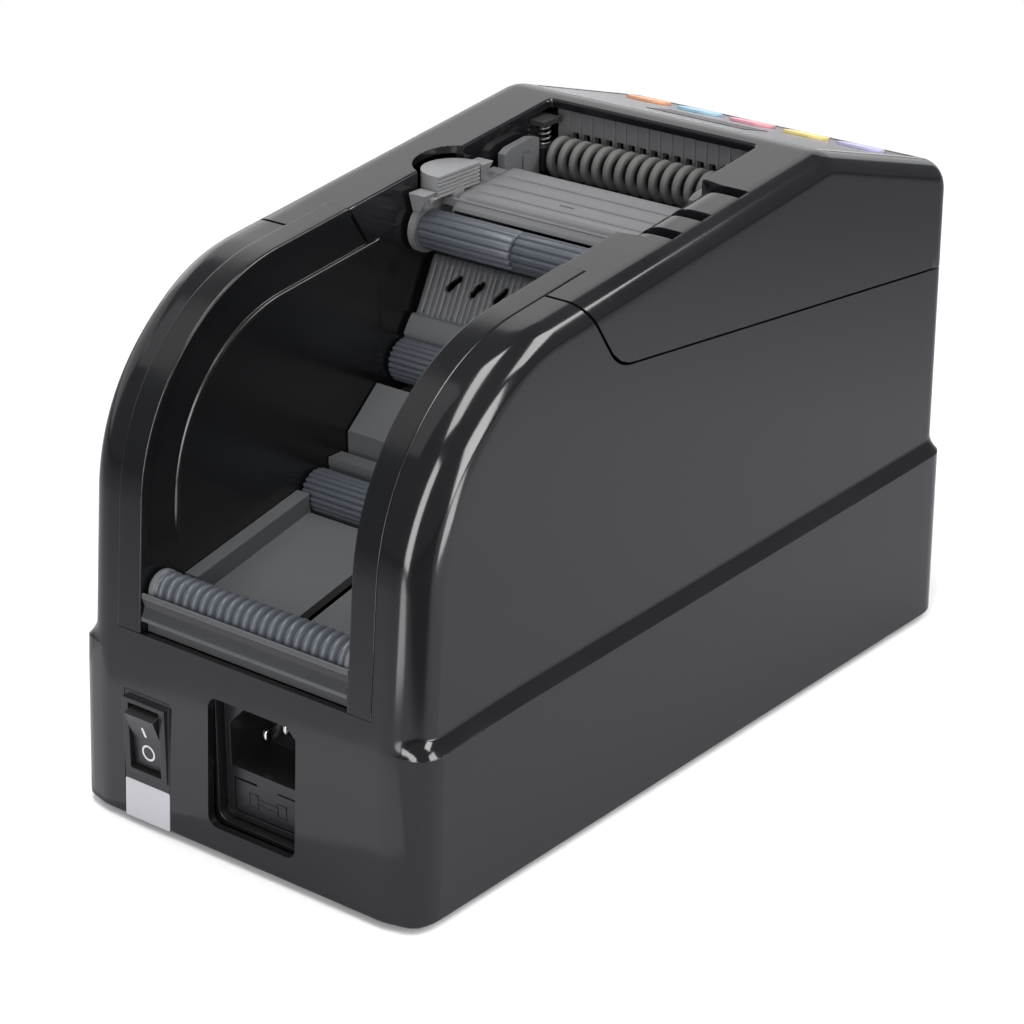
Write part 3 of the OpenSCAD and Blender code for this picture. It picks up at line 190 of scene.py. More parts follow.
def piece(name, patches, finish, body="housing", stands_for=(), wall=0, soft=0, cuts=(), turn_out=False,
          crisp=False):
    """A named piece: sheets, then a wall inwards, then holes, then soft edges; it rides on its body.

    A crisp piece keeps its hard edges; it is always a closed shape, so its faces are turned out.
    """
    obj = placed(name, mesh_of(name, patches, turn_out or crisp))
    if wall:
        solid = obj.modifiers.new("wall", "SOLIDIFY")
        solid.thickness, solid.offset = wall * MM, -1
        settle(obj)
    cut(obj, *cuts)
    dress(obj, finish, body, stands_for)
    if crisp:
        obj.data.set_sharp_from_angle(angle=math.radians(CREASE))
    if soft:
        soften(obj, soft, CREASE)
    print(f"{name}: {len(obj.data.vertices)} points")


def paint(obj, finish):
    """Gives an object its only finish."""
    obj.data.materials.clear()
    obj.data.materials.append(finish)


def dress(obj, finish, body, stands_for):
    """Gives a piece its finish, the body it moves with and the nodes it stands for."""
    paint(obj, finish)
    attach(obj, body)
    if stands_for:
        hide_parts(*stands_for)


def softened(node, finish, width):
    """A copy of a CAD node with its doubles merged, flat faces joined and its edges rounded."""
    obj = placed(node + "_moulded", mended(nodes[node].data.copy(), flat=1))
    dress(obj, finish, nodes[node]["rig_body"], [node])
    soften(obj, width, CAD_CREASE)


# %% [markdown]
# ## Finishes
# Moulded plastic is never one flat colour: the mould leaves a fine grain, the gloss changes where hands
# and dust have been. These two effects are shared by nearly all parts, so each is one node group, placed in
# every finish with its own strength.

# %% Shared effects
def feed(tree, made, links):
    """Sets inputs of a node: by a number, or by a link from a socket or from the result of another node."""
    for key, value in links.items():
        if isinstance(value, bpy.types.Node):
            value = value.outputs[2 if value.bl_idname == "ShaderNodeMix" else 0]
        if isinstance(value, bpy.types.NodeSocket):
            tree.links.new(value, made.inputs[key])
        else:
            made.inputs[key].default_value = value


def node(tree, kind, links=None, **settings):
    """A node with its settings and its inputs."""
    made = tree.nodes.new(kind)
    for key, value in settings.items():
        setattr(made, key, value)
    feed(tree, made, links or {})
    return made


def maths(tree, operation, a, b):
    """Two values made into one."""
    return node(tree, "ShaderNodeMath", {0: a, 1: b}, operation=operation)


def mix(tree, share, a, b):
    """A colour between a and b, by the share of b."""
    return node(tree, "ShaderNodeMix", {0: share, 6: a, 7: b}, data_type="RGBA")


def ramp(tree, value, low, high, to=(0, 1)):
    """Carries a value from one range to another, and holds it at the ends."""
    return node(tree, "ShaderNodeMapRange", {"Value": value, "From Min": low, "From Max": high, "To Min": to[0],
                                             "To Max": to[1]})


def group_of(name, inputs, outputs):
    """An empty node group: inputs by name and kind, outputs that are all plain values."""
    tree = bpy.data.node_groups.new(name, "ShaderNodeTree")
    for label, kind in inputs.items():
        tree.interface.new_socket(label, in_out="INPUT", socket_type=kind)
    for label in outputs:
        tree.interface.new_socket(label, in_out="OUTPUT", socket_type="NodeSocketFloat")
    return tree, tree.nodes.new("NodeGroupInput").outputs, tree.nodes.new("NodeGroupOutput")


def moulded_grain():
    """Fine pimples of a spark-worn mould: a fine noise and one about eight times as wide, added as a height."""
    tree, start, end = group_of("moulded grain", {"Place": "NodeSocketVector", "Fineness": "NodeSocketFloat"},
                                ["Height", "Speck"])
    fine = node(tree, "ShaderNodeTexNoise", {"Vector": start["Place"], "Scale": start["Fineness"], "Detail": 3.0,
                                             "Roughness": 0.6})
    wide = node(tree, "ShaderNodeTexNoise", {"Vector": start["Place"], "Detail": 2.0,
                                             "Scale": maths(tree, "MULTIPLY", start["Fineness"], 0.12)})
    feed(tree, end, {"Height": maths(tree, "ADD", fine, wide), "Speck": fine})
    return tree


def handled():
    """Where a surface has been wiped and where dust stays: slow noise, stretched into soft blots."""
    tree, start, end = group_of("handled surface", {"Place": "NodeSocketVector", "Size": "NodeSocketFloat"},
                                ["Wiped", "Dust"])
    slow = node(tree, "ShaderNodeTexNoise", {"Vector": start["Place"], "Scale": start["Size"], "Detail": 4.0,
                                             "Distortion": 0.6})
    wiped = ramp(tree, slow, 0.35, 0.65)
    facing = node(tree, "ShaderNodeSeparateXYZ", {0: node(tree, "ShaderNodeNewGeometry").outputs["Normal"]})
    lying = ramp(tree, facing.outputs[2], 0.2, 1.0)
    feed(tree, end, {"Wiped": wiped, "Dust": maths(tree, "MULTIPLY", lying, wiped)})
    return tree


GRAIN, HANDLED = moulded_grain(), handled()
DUST, BLOT_SCALE, GRAIN_HEIGHT = (0.55, 0.54, 0.52, 1), 28.0, 0.0003


def finish(name, colour, rough, metal=0.0, grain=0.08, fineness=2500.0, vary=0.12, spread=0.05, dust=0.02,
           stretch=(1, 1, 1), level=0.5):
    """A finish: base colour that varies by a share, roughness that varies by a spread, dust on what lies flat."""
    made = bpy.data.materials.new(name)
    made.use_nodes = True
    tree = made.node_tree
    place = node(tree, "ShaderNodeTexCoord").outputs["Object"]
    drawn = node(tree, "ShaderNodeMapping", {"Vector": place, "Scale": stretch})
    fine = node(tree, "ShaderNodeGroup", {"Place": drawn, "Fineness": fineness}, node_tree=GRAIN).outputs
    slow = node(tree, "ShaderNodeGroup", {"Place": place, "Size": BLOT_SCALE}, node_tree=HANDLED).outputs
    dark, light = ([min(1, c * k) for c in colour] + [1] for k in (1 - vary, 1 + vary))
    base = mix(tree, fine["Speck"], dark, light)
    dusty = mix(tree, maths(tree, "MULTIPLY", slow["Dust"], dust), base, DUST)
    gloss = ramp(tree, slow["Wiped"], 0, 1, (rough - spread, rough + spread))
    bump = node(tree, "ShaderNodeBump", {"Height": fine["Height"], "Strength": grain, "Distance": GRAIN_HEIGHT})
    feed(tree, tree.nodes["Principled BSDF"], {"Base Color": dusty, "Roughness": gloss, "Normal": bump,
                                               "Metallic": metal, "Specular IOR Level": level})
    return made


# %% The finishes of this machine
shell_gloss = finish("shell gloss", (0.007, 0.007, 0.008), 0.125, grain=0.015, spread=0.02, dust=0.008)
inner_black = finish("inner black", (0.005, 0.0052, 0.0057), 0.22, grain=0.03, spread=0.03, dust=0.006)
tray_grey = finish("tray grey", (0.072, 0.074, 0.077), 0.46, grain=0.1)
comb_grey = finish("comb grey", (0.1, 0.101, 0.104), 0.42, grain=0.06)
guide_grey = finish("guide grey", (0.122, 0.123, 0.126), 0.42, grain=0.08)
latch_grey = finish("latch grey", (0.19, 0.191, 0.194), 0.42, grain=0.08)
# The cradle is tray plastic; its darker colour is painted shade where it sits under the rear roller.
cradle_painted_shade = finish("cradle painted shade", (0.03, 0.031, 0.033), 0.42, grain=0.08)
side_grey = finish("side plate grey", (0.11, 0.112, 0.115), 0.42, grain=0.08)
roller_blue = finish("roller blue-grey", (0.066, 0.073, 0.087), 0.38, grain=0.05)
ring_rubber = finish("ring rubber", (0.105, 0.105, 0.101), 0.72, grain=0.25, fineness=3500, level=0.3)
foot_rubber = finish("foot rubber", (0.016, 0.016, 0.016), 0.8, grain=0.25, level=0.3)
steel = finish("turned steel", (0.60, 0.60, 0.61), 0.28, metal=1.0, grain=0.05, stretch=(0.05, 1, 1))
spring_steel = finish("spring wire", (0.34, 0.33, 0.32), 0.28, metal=1.0, grain=0.04)
plate_steel = finish("plated sheet", (0.52, 0.53, 0.55), 0.38, metal=1.0, grain=0.06, fineness=400, vary=0.18)
plate_black = finish("blackened sheet", (0.03, 0.03, 0.031), 0.4, metal=0.3, grain=0.06, fineness=400)
gear_nylon = finish("gear nylon", (0.62, 0.60, 0.53), 0.5, grain=0.06)
block_resin = finish("block resin", (0.008, 0.008, 0.0085), 0.4, grain=0.05)
bush_resin = finish("bush resin", (0.66, 0.62, 0.50), 0.48, grain=0.05)
film_black = finish("key film", (0.008, 0.008, 0.009), 0.16, grain=0.0, spread=0.02, dust=0.02)
window_dark = finish("display window", (0.012, 0.004, 0.004), 0.08, grain=0.0, spread=0.01)
board_green = finish("circuit board", (0.02, 0.11, 0.05), 0.35, grain=0.1, fineness=900, vary=0.3)
switch_black = finish("switch black", (0.011, 0.011, 0.012), 0.28, grain=0.03, dust=0.01)
label_paper = finish("blank label", (0.45, 0.45, 0.47), 0.6, grain=0.08, fineness=5000, vary=0.03)
mark_white = finish("switch marks", (0.62, 0.62, 0.62), 0.5, grain=0.02, vary=0.02)
pin_nickel = finish("nickel pins", (0.72, 0.70, 0.66), 0.2, metal=1.0, grain=0.02)
# The keys' own tints, lightened toward white as a painted sheen of the gloss over them.
KEY_TINTS_WITH_PAINTED_SHEEN = {"orange": (0.78, 0.40, 0.24), "blue": (0.38, 0.60, 0.74), "pink": (0.76, 0.36, 0.42),
               "yellow": (0.82, 0.66, 0.26), "lavender": (0.50, 0.49, 0.70)}
key_finish = {k: finish("key " + k, c, 0.4, grain=0.03, vary=0.04) for k, c in KEY_TINTS_WITH_PAINTED_SHEEN.items()}
print(len(bpy.data.materials), "finishes")

# %% [markdown]
# ## The edge that makes the shape
# Seen from the side, the outer edge goes up the leg, round the arch, along the rail, over the ridge, down the
# key panel and round the nose to the front. Each stretch has a heading, and a bend between two headings is an
# arc. Everything on the shell is measured from this line: a depth is counted inwards from it.

# %% The side line
HALF_L, BASE_X, STEP, FOOT_H = 121.0, 58.5, 2.5, 2.0
UPPER_X, FRONT_Y = BASE_X - STEP, -HALF_L + STEP
BAY_X, STRIP_X, SILL_Z, GAP = 35.0, 43.0, 54.7, 0.3
LEG, RAIL, PANEL, FRONT = -85.0, -6.8, 16.2, 90.0
ARCH_R, RIDGE_R, NOSE_R = 60.0, 14.2, 9.4
REAR_LEAN, LEAN_Z = math.tan(math.radians(2.9)), 43.5
RIDGE = np.array([-56.0, 157.5])


def heading(turn):
    """The way the edge runs, for a turn in degrees below the way to the front, as (y, z)."""
    a = np.radians(turn)
    return np.stack([-np.cos(a), -np.sin(a)], -1)


def outward(turn):
    """The way out of the body, square to the heading."""
    a = np.radians(turn)
    return np.stack([-np.sin(a), np.cos(a)], -1)


def meet(p, u, q, v):
    """Where the line from p along u crosses the line from q along v; p may be an array."""
    w = np.asarray(q) - p
    t = (w[..., 0] * v[1] - w[..., 1] * v[0]) / (u[0] * v[1] - u[1] * v[0])
    return p + u * t[..., None]


def rail_z(y):
    """Height of the rail's line: it falls evenly to the rear from the ridge."""
    return RIDGE[1] - math.tan(math.radians(-RAIL)) * (y - RIDGE[0])


def shoulder_z(y):
    """Height of the shoulder's edge: it climbs quickly near the rear and then evenly to the front."""
    t = (HALF_L - np.asarray(y, float)) / (2 * HALF_L)
    return 46.6 + 1.3 * ease(t, 0, 0.2) + 5.1 * t


leg_foot = np.array([HALF_L - REAR_LEAN * (LEAN_Z - FOOT_H), LEAN_Z])
arch_v = meet(leg_foot, heading(LEG), RIDGE, heading(RAIL))
nose_v = meet(RIDGE, heading(PANEL), [FRONT_Y, 0.0], heading(FRONT))


def tangent_points(v, a, b, r):
    """Where a bend of radius r at the corner v leaves heading a, and where it joins heading b."""
    t = r * math.tan(math.radians(b - a) / 2)
    return v - heading(a) * t, v + heading(b) * t


leg_top, rail_back = tangent_points(arch_v, LEG, RAIL, ARCH_R)
ridge_back, ridge_fore = tangent_points(RIDGE, RAIL, PANEL, RIDGE_R)
nose_back, _ = tangent_points(nose_v, PANEL, FRONT, NOSE_R)


def leg_at(z):
    """The point of the leg's straight line at a height."""
    return leg_foot + heading(LEG) * (z - leg_foot[1]) / heading(LEG)[1]


def stretch(p, q, turn, n):
    """Stations on a straight stretch: y, z and turn in three columns."""
    t = np.linspace(0, 1, n)[:, None]
    return np.hstack([p + (np.asarray(q) - p) * t, np.full((n, 1), turn)])


def bend(start, r, turn0, turn1, n):
    """Stations on an arc of radius r that leaves start with turn0 and ends with turn1."""
    turns = np.linspace(turn0, turn1, n)
    return np.column_stack([start - outward(turn0) * r + r * outward(turns), turns])


def chain(*runs):
    """Runs joined end to end, each shared station kept once."""
    return np.vstack([runs[0]] + [r[1:] for r in runs[1:]])


def carry(path, x, depth):
    """Carries a section along a path: across by x, and inwards from the edge by depth."""
    n = outward(path[:, 2])
    x, depth = np.broadcast_arrays(x, depth)
    return np.stack([np.broadcast_to(x, (len(path), x.shape[-1])), path[:, :1] - depth * n[:, :1],
                     path[:, 1:2] - depth * n[:, 1:]], -1)


def edge_section(x0, r, flat, turn=10):
    """Across the edge: flat from x0 to the rounding, then a quarter round of radius r down to the side."""
    x0, r = (v[:, None] for v in np.broadcast_arrays(np.atleast_1d(x0), np.atleast_1d(r)))
    s, t = np.linspace(0, 1, flat)[None], quarter(turn)[None, 1:]
    return np.hstack([x0 + (UPPER_X - r - x0) * s, UPPER_X - r + r * np.sin(t)]), \
        np.hstack([s * 0 * r, r - r * np.cos(t)])


print("arch from", leg_top.round(1), "to", rail_back.round(1), "nose at", nose_v.round(1))

# %% The joint line of the cover
SEAM_CORNER, SEAM_R = np.array([38.0, 125.0]), 12.0
SEAM_UP = np.array([22.0, rail_z(38.0) + 12 - 125.0])
SEAM_ON = np.array([FRONT_Y - 38.0, 109.0 - 125.0])
SEAM_UP, SEAM_ON = SEAM_UP / np.linalg.norm(SEAM_UP), SEAM_ON / np.linalg.norm(SEAM_ON)
COVER_SHIFT = np.array([-2.2 * GAP, 1.9 * GAP])
STRIP_SHIFT = 19.0 * SEAM_ON


def seam_on_rail(depth, shift=0):
    """Where the slanted end of the joint crosses the rail drawn in by a depth."""
    p = RIDGE - np.asarray(depth, float)[..., None] * outward(RAIL)
    return meet(p, heading(RAIL), SEAM_CORNER + shift, SEAM_UP)


def seam_curve(depth, shift, end_y, n=(5, 12, 30)):
    """The joint from the rail down its slant, round its fillet and along to the front, at y = end_y."""
    half = math.acos(SEAM_UP @ SEAM_ON) / 2
    corner = SEAM_CORNER + shift
    reach = SEAM_R / math.tan(half)
    middle = corner + (SEAM_UP + SEAM_ON) / np.linalg.norm(SEAM_UP + SEAM_ON) * SEAM_R / math.sin(half)
    a0, a1 = (math.atan2(*(corner + d * reach - middle)[::-1]) for d in (SEAM_UP, SEAM_ON))
    a1 = a0 + (a1 - a0 + math.pi) % (2 * math.pi) - math.pi
    a = np.linspace(a0, a1, n[1])
    arc = middle + SEAM_R * np.column_stack([np.cos(a), np.sin(a)])
    last = corner + SEAM_ON * (end_y - corner[0]) / SEAM_ON[0]
    return np.vstack([np.linspace(seam_on_rail(depth, shift), arc[0], n[0])[:-1], arc,
                      np.linspace(arc[-1], last, n[2])[1:]])


# %% [markdown]
# ## Main housing
# On the real machine this is one moulding: two arches, flat sides, a rear wall below the sill and a base band
# with a swept shoulder. A box with bevels would lose the way the rounding runs from leg to rail, so a section
# is carried along the side line and the flat sides hang from its lower rim. The shoulder is a loop round the
# foot of that sheet whose step fades to nothing across the rear.

# %% Arches, sides, rear and front of the housing
ROUND_LEG, ROUND_RAIL, ROUND_FRONT, WALL = 9.5, 6.5, 6.5, 2.2
RISE, LEG_END_Y, REAR_ROWS = 4.8, 109.4, 6
COLUMN, SIXTHS = np.linspace(0, 1, 8)[:, None], np.linspace(0, 1, 7)


def hang(tops, bottoms):
    """Straight columns from each top point to its bottom point."""
    return tops[:, None] + (bottoms - tops)[:, None] * COLUMN


foot_drop = ROUND_LEG * outward(LEG)[1]
start_z = shoulder_z(LEG_END_Y) + RISE + foot_drop
arch_run = chain(stretch(leg_at(start_z), leg_at(SILL_Z), LEG, REAR_ROWS),
                 stretch(leg_at(SILL_Z), leg_top, LEG, 12), bend(leg_top, ARCH_R, LEG, RAIL, 56))
arch_round = ROUND_LEG + (ROUND_RAIL - ROUND_LEG) * ease(arch_run[:, 2], -45, RAIL)
across, inward = edge_section(STRIP_X, arch_round, 4)
edge = carry(arch_run, across, inward)
edge = np.concatenate([edge, rows_between(across[-1], edge[-1, :, 1:], seam_on_rail(inward[-1]), SIXTHS[1:])])
under_seam = seam_curve(ROUND_RAIL, 0, FRONT_Y + ROUND_FRONT)
side_top = np.vstack([edge[:, -1, 1:], under_seam[1:]])
side_top = np.column_stack([np.full(len(side_top), UPPER_X), side_top])
side_foot = side_top.copy()
side_foot[:, 2] = shoulder_z(side_top[:, 1]) + RISE
side_foot[0] = side_top[0]
turn = quarter(9)
front_x = np.concatenate([UPPER_X - ROUND_FRONT * (1 - np.cos(turn)),
                          np.linspace(UPPER_X - ROUND_FRONT, 0, 10)[1:]])
front_y = np.concatenate([FRONT_Y + ROUND_FRONT * (1 - np.sin(turn)), np.full(9, FRONT_Y)])
seam_slope = SEAM_ON[1] / SEAM_ON[0]
front_top = np.column_stack([front_x, front_y, SEAM_CORNER[1] + seam_slope * (front_y - SEAM_CORNER[0])])
front_foot = np.column_stack([front_x, front_y, shoulder_z(front_y) + RISE])
rear = carry(arch_run[:REAR_ROWS], np.linspace(-STRIP_X, STRIP_X, 24), np.zeros(24))
half_shell = [grid(edge), grid(hang(side_top, side_foot)), grid(hang(front_top, front_foot))]
print("upper shell:", sum(len(p) for p, f in half_shell), "points on one side")

# %% Base band
left_loop = np.vstack([edge[0], side_foot[1:], front_foot[1:]])
right_loop = (left_loop * [-1, 1, 1])[::-1]
loop = np.vstack([rear[0][:-1], left_loop, right_loop[1:-1]])
way = np.roll(loop, -1, 0) - np.roll(loop, 1, 0)
out = np.column_stack([-way[:, 1], way[:, 0]])
out /= np.linalg.norm(out, axis=1)[:, None]
step = ease(1 - np.clip(out[:, 1], 0, 1), 0, 0.5)
rear_share = ease(loop[:, 1], 50, 108)[:, None]
EDGE_ROUND, LIP_ROUND = 0.15, 0.8
round_off = quarter(6)
sweep = np.linspace(0, 1, 11)
ledge = np.concatenate([(STEP - EDGE_ROUND) * sweep ** 1.7,
                        STEP - EDGE_ROUND + EDGE_ROUND * np.sin(round_off[1:])])
drop = np.concatenate([RISE * sweep, RISE + EDGE_ROUND * (1 - np.cos(round_off[1:]))])


def rear_fall(high, low):
    """How far the rear face comes out between two heights: it leans more above LEAN_Z than below."""
    upper = math.tan(math.radians(90 + LEG)) * (high - np.clip(low, LEAN_Z, high))
    return upper + REAR_LEAN * (LEAN_Z - np.minimum(low, LEAN_Z))


def base_band():
    """Rows from the foot of the upper shell: hollow sweep to a crisp edge, leaning wall, lip underneath."""
    shoulder = np.dstack([step[:, None] * ledge, loop[:, 2:] - drop])
    wall_z = shoulder[:, -1, 1:] + (FOOT_H + LIP_ROUND - shoulder[:, -1, 1:]) * np.linspace(0, 1, 9)[1:]
    lip_out = step[:, None] * STEP - np.append(LIP_ROUND * (1 - np.cos(round_off[1:])), 2.2)
    lip_z = FOOT_H + LIP_ROUND - np.append(LIP_ROUND * np.sin(round_off[1:]), LIP_ROUND)
    reach = np.hstack([shoulder[..., 0], np.repeat(step[:, None] * STEP, 8, 1), lip_out])
    z = np.hstack([shoulder[..., 1], wall_z, np.broadcast_to(lip_z, (len(loop), 6))])
    x = loop[:, :1] + out[:, :1] * reach
    y = loop[:, 1:2] + out[:, 1:] * reach + rear_share * rear_fall(loop[:, 2:], z)
    return np.dstack([x, np.minimum(y, HALF_L), z])


def prism(outline, low, high, axis):
    """A closed prism: an outline in two directions, carried between two values of the third."""
    return capped([np.insert(np.asarray(outline, float), axis, v, axis=1) for v in (low, high)])


def round_rect(cx, cy, half_w, half_h, r, n=7):
    """Outline of a rectangle with round corners, from its middle and half sizes."""
    a = quarter(n)
    a = np.concatenate([a + k * np.pi / 2 for k in range(4)])
    sx, sy = np.repeat([1, -1, -1, 1], n), np.repeat([1, 1, -1, -1], n)
    return np.column_stack([cx + sx * (half_w - r) + r * np.cos(a), cy + sy * (half_h - r) + r * np.sin(a)])


INLET_X, INLET_Z, STRIP_PANEL_X = -4.0, 27.0, 32.5
inlet_hole = prism(round_rect(INLET_X, INLET_Z, 14.9, 18, 3), 100, 130, 1)
strip_hole = prism(round_rect(STRIP_PANEL_X, 13.4, 8.15, 25, 0.5), 108, 130, 1)
piece("housing_shell", [*half_shell, *map(mirrored, half_shell), grid(rear), grid(base_band(), loop=True)],
      shell_gloss, stands_for=["main_housing"], wall=WALL, cuts=[inlet_hole, strip_hole], soft=0.3)

# %% [markdown]
# ## Top cover
# The cover carries the rails, the key panel and the upper front. It is swept on the same side line, and only
# its inner rim is new: a U-shaped rim round the mechanism that turns down into a skirt. On the right rail the
# rim rolls over as a finger grip with three cross grooves.

# %% Rows of the cover
RIM_R, RIM_CORNER, BAR_Y, SKIRT, BAR_SKIRT = 0.9, 1.4, -50.8, 12.0, 2.4
GRIP_R, GRIP_FROM, GRIP_TO, GROOVE_D = 9.5, -26.0, 12.0, 2.8
GROOVES = np.array([-22.5, -6.0, 6.5])
SKEW_TO, MIDDLE_COLUMNS, NOSE_ROWS = 28.0, 24, 16
skirt_end = BAR_Y + 10
rail_y = np.concatenate([np.linspace(SKEW_TO, GRIP_TO + 2, 12)[:-1], np.arange(GRIP_TO + 2, GRIP_FROM - 2, -0.2),
                         np.linspace(GRIP_FROM - 2, skirt_end + 0.05, 12), [skirt_end],
                         np.linspace(skirt_end, BAR_Y + RIM_CORNER, 5)[1:]])
corner = quarter(9)[1:]
grip = ease(rail_y, GRIP_FROM, GRIP_FROM + 1.5) * (1 - ease(rail_y, GRIP_TO - 1.5, GRIP_TO))


def rim(side):
    """Inner rim of one rail: the edge where the flat starts, its rounding, and the way towards the opening."""
    r = RIM_R + (GRIP_R - RIM_R) * grip if side < 0 else np.full(len(rail_y), RIM_R)
    x = np.concatenate([BAY_X + r, BAY_X - RIM_CORNER + (RIM_CORNER + RIM_R) * np.cos(corner)])
    y = np.concatenate([rail_y, BAR_Y + RIM_CORNER - (RIM_CORNER + RIM_R) * np.sin(corner)])
    to_x = np.concatenate([np.full(len(rail_y), -1.0), -np.cos(corner)])
    to_y = np.concatenate([np.zeros(len(rail_y)), np.sin(corner)])
    return x, y, np.concatenate([r, np.full(len(corner), RIM_R)]), to_x, to_y


def on_rail(x, y, depth):
    """A point at x and y on the rail's plane, then inwards by a depth."""
    n = outward(RAIL)
    x, y, depth = np.broadcast_arrays(x, y, depth)
    return np.stack([x, y - depth * n[0], rail_z(y) - depth * n[1]], -1)


def grooved(points_x, y, depth):
    """Cross grooves of the grip: within a groove no point lies higher than the groove's floor."""
    across = np.min(np.abs(y[..., None] - GROOVES), -1)
    mask = (1 - ease(across, 1.9, 2.3)) * (1 - ease(np.abs(points_x), 49.6, 50.5))
    return np.maximum(depth, GROOVE_D * mask)


def skewed(section_x, depth, end_row):
    """Rows between the slanted joint and the first square row of the rail."""
    return rows_between(section_x, seam_on_rail(depth, COVER_SHIFT), end_row[:, 1:], SIXTHS[:-1])


# %% Rails, ridge, panel, nose and front of the cover
below = chain(stretch(np.array([BAR_Y - RIM_R, rail_z(BAR_Y - RIM_R)]), ridge_back, RAIL, 3),
              bend(ridge_back, RIDGE_R, RAIL, PANEL, 12), stretch(ridge_fore, nose_back, PANEL, 24),
              bend(nose_back, NOSE_R, PANEL, FRONT, NOSE_ROWS))
seam_side = seam_curve(ROUND_RAIL, COVER_SHIFT, FRONT_Y + ROUND_RAIL)


def cover_seam_z(y):
    """Height of the cover's joint, read off its curve."""
    return np.interp(y, seam_side[::-1, 0], seam_side[::-1, 1])


def cover_half(side):
    """One half of the cover's outside, drawn on the left: rail rows, then all rows to the foot of the front."""
    x_in, y_in, *_ = rim(side)
    x, d = edge_section(x_in, ROUND_RAIL, 12)
    y = np.repeat(y_in[:, None], x.shape[1], 1)
    if side < 0:
        d = grooved(x, y, d)
    rail = on_rail(x, y, d)
    rail = np.concatenate([skewed(x[0], d[0], rail[0]), rail])
    x1, d1 = x[-1], d[-1]
    front = carry(below[1:], x1, d1)
    foot_y = FRONT_Y + d1
    foot = np.column_stack([foot_y, SEAM_CORNER[1] + COVER_SHIFT[1]
                            + seam_slope * (foot_y - SEAM_CORNER[0] - COVER_SHIFT[0])])
    low = rows_between(x1, front[-1, :, 1:], foot, SIXTHS[1:])
    return np.concatenate([rail, front, low]), len(rail)


def cover_side(sheet, first_fan):
    """The flat side under one half: columns down to the joint, fanned out below the nose."""
    top = sheet[:, -1]
    y = top[:, 1].copy()
    fan = np.linspace(0, 1, len(y) - first_fan)
    y[first_fan:] = y[first_fan] + (FRONT_Y + ROUND_RAIL - y[first_fan]) * fan
    foot = np.column_stack([top[:, 0], y, np.minimum(cover_seam_z(y), top[:, 2])])
    foot[0] = top[0]
    return hang(top, foot)


left, bar_row = cover_half(1)
right, _ = cover_half(-1)
fan_row = bar_row + len(below) - NOSE_ROWS - 1
middle_x = np.linspace(BAY_X - RIM_CORNER, RIM_CORNER - BAY_X, MIDDLE_COLUMNS)
middle_path = left[bar_row - 1:, 0, 1:]
middle = np.dstack([np.broadcast_to(middle_x, (len(middle_path), MIDDLE_COLUMNS)),
                    np.repeat(middle_path[:, None], MIDDLE_COLUMNS, 1)])


def rim_sheet():
    """Skirt of the opening: the rim turns over a quarter round and drops along the U of rail, bar and rail."""
    bar = np.ones(MIDDLE_COLUMNS - 2)
    along_bar = [middle_x[1:-1], bar * (BAR_Y - RIM_R), bar * RIM_R, bar * 0, bar]
    x, y, r, to_x, to_y = (np.concatenate([one, mid, sign * other[::-1]])[:, None] for one, mid, other, sign
                           in zip(rim(1), along_bar, rim(-1), (-1, 1, 1, -1, 1)))
    full = np.where(y > skirt_end + 0.01, SKIRT, BAR_SKIRT)
    a, t = quarter(10), SIXTHS[1:]
    depth = np.hstack([r * (1 - np.cos(a)), r + (full - r) * t])
    over = np.hstack([r * np.sin(a), r * (t * 0 + 1)])
    px, py = x + to_x * over, y + to_y * over
    depth = np.where(px < 0, grooved(px, py, depth), depth)
    body = on_rail(px, py, depth)
    ends = [skewed(px[k], depth[k], body[k]) for k in (0, -1)]
    return np.concatenate([ends[0], body, ends[1][::-1]])


def plane(origin, up, normal):
    """A placing function for a slanted plane: across by x, up from the origin by v, and out by a height."""
    def at(x, v, height):
        x, v, height = (np.asarray(c, float)[..., None] for c in (x, v, height))
        return np.concatenate([x, origin + v * up + height * normal], -1)
    return at


def standing(outline, low, high, at):
    """A closed prism that stands square on a plane, given by its placing function."""
    return capped([at(outline[:, 0], outline[:, 1], np.full(len(outline), h)) for h in (low, high)])


on_panel = plane(RIDGE, -heading(PANEL), outward(PANEL))
FILM_X, FILM_TOP, FILM_FOOT, POCKET, KEYS_V, KEY_PITCH = 48.4, -6.0, -56.0, 0.6, -45.8, 18.4
LATCH_HOLE = np.array([31.9, -3.0])
LATCH_HOLE_R = 10.2
film_hole = standing(round_rect(0, (FILM_TOP + FILM_FOOT) / 2, FILM_X + 0.15, 25.15, 1.2), -POCKET, 4, on_panel)
key_holes = [standing(round_rect(k * KEY_PITCH, KEYS_V, 7.4, 4.9, 4.89), -6, 4, on_panel) for k in range(-2, 3)]
around = circle(64)
lag_at = SEAM_CORNER + STRIP_SHIFT + 0.35 * COVER_SHIFT
behind_lag = prism([lag_at - 45 * SEAM_UP, lag_at + 60 * SEAM_UP, lag_at + 60 * SEAM_UP + [90, 0],
                    lag_at - 45 * SEAM_UP + [90, 0]], -STRIP_X - GAP / 2, STRIP_X + GAP / 2, 0)
latch_hole = prism(LATCH_HOLE + LATCH_HOLE_R * np.column_stack([np.cos(around), np.sin(around)]), 132, 175, 2)
outlet_hole = prism(round_rect(0, 123.5, 31, 5.5, 1.5), FRONT_Y - 6, FRONT_Y + 8, 1)
piece("cover_shell", [grid(left), mirrored(grid(right)), grid(cover_side(left, fan_row)),
                      mirrored(grid(cover_side(right, fan_row))), grid(middle, flip=True),
                      grid(rim_sheet(), flip=True)],
      shell_gloss, stands_for=["top_cover"], wall=2.0,
      cuts=[behind_lag, film_hole, *key_holes, latch_hole, outlet_hole], soft=0.25)

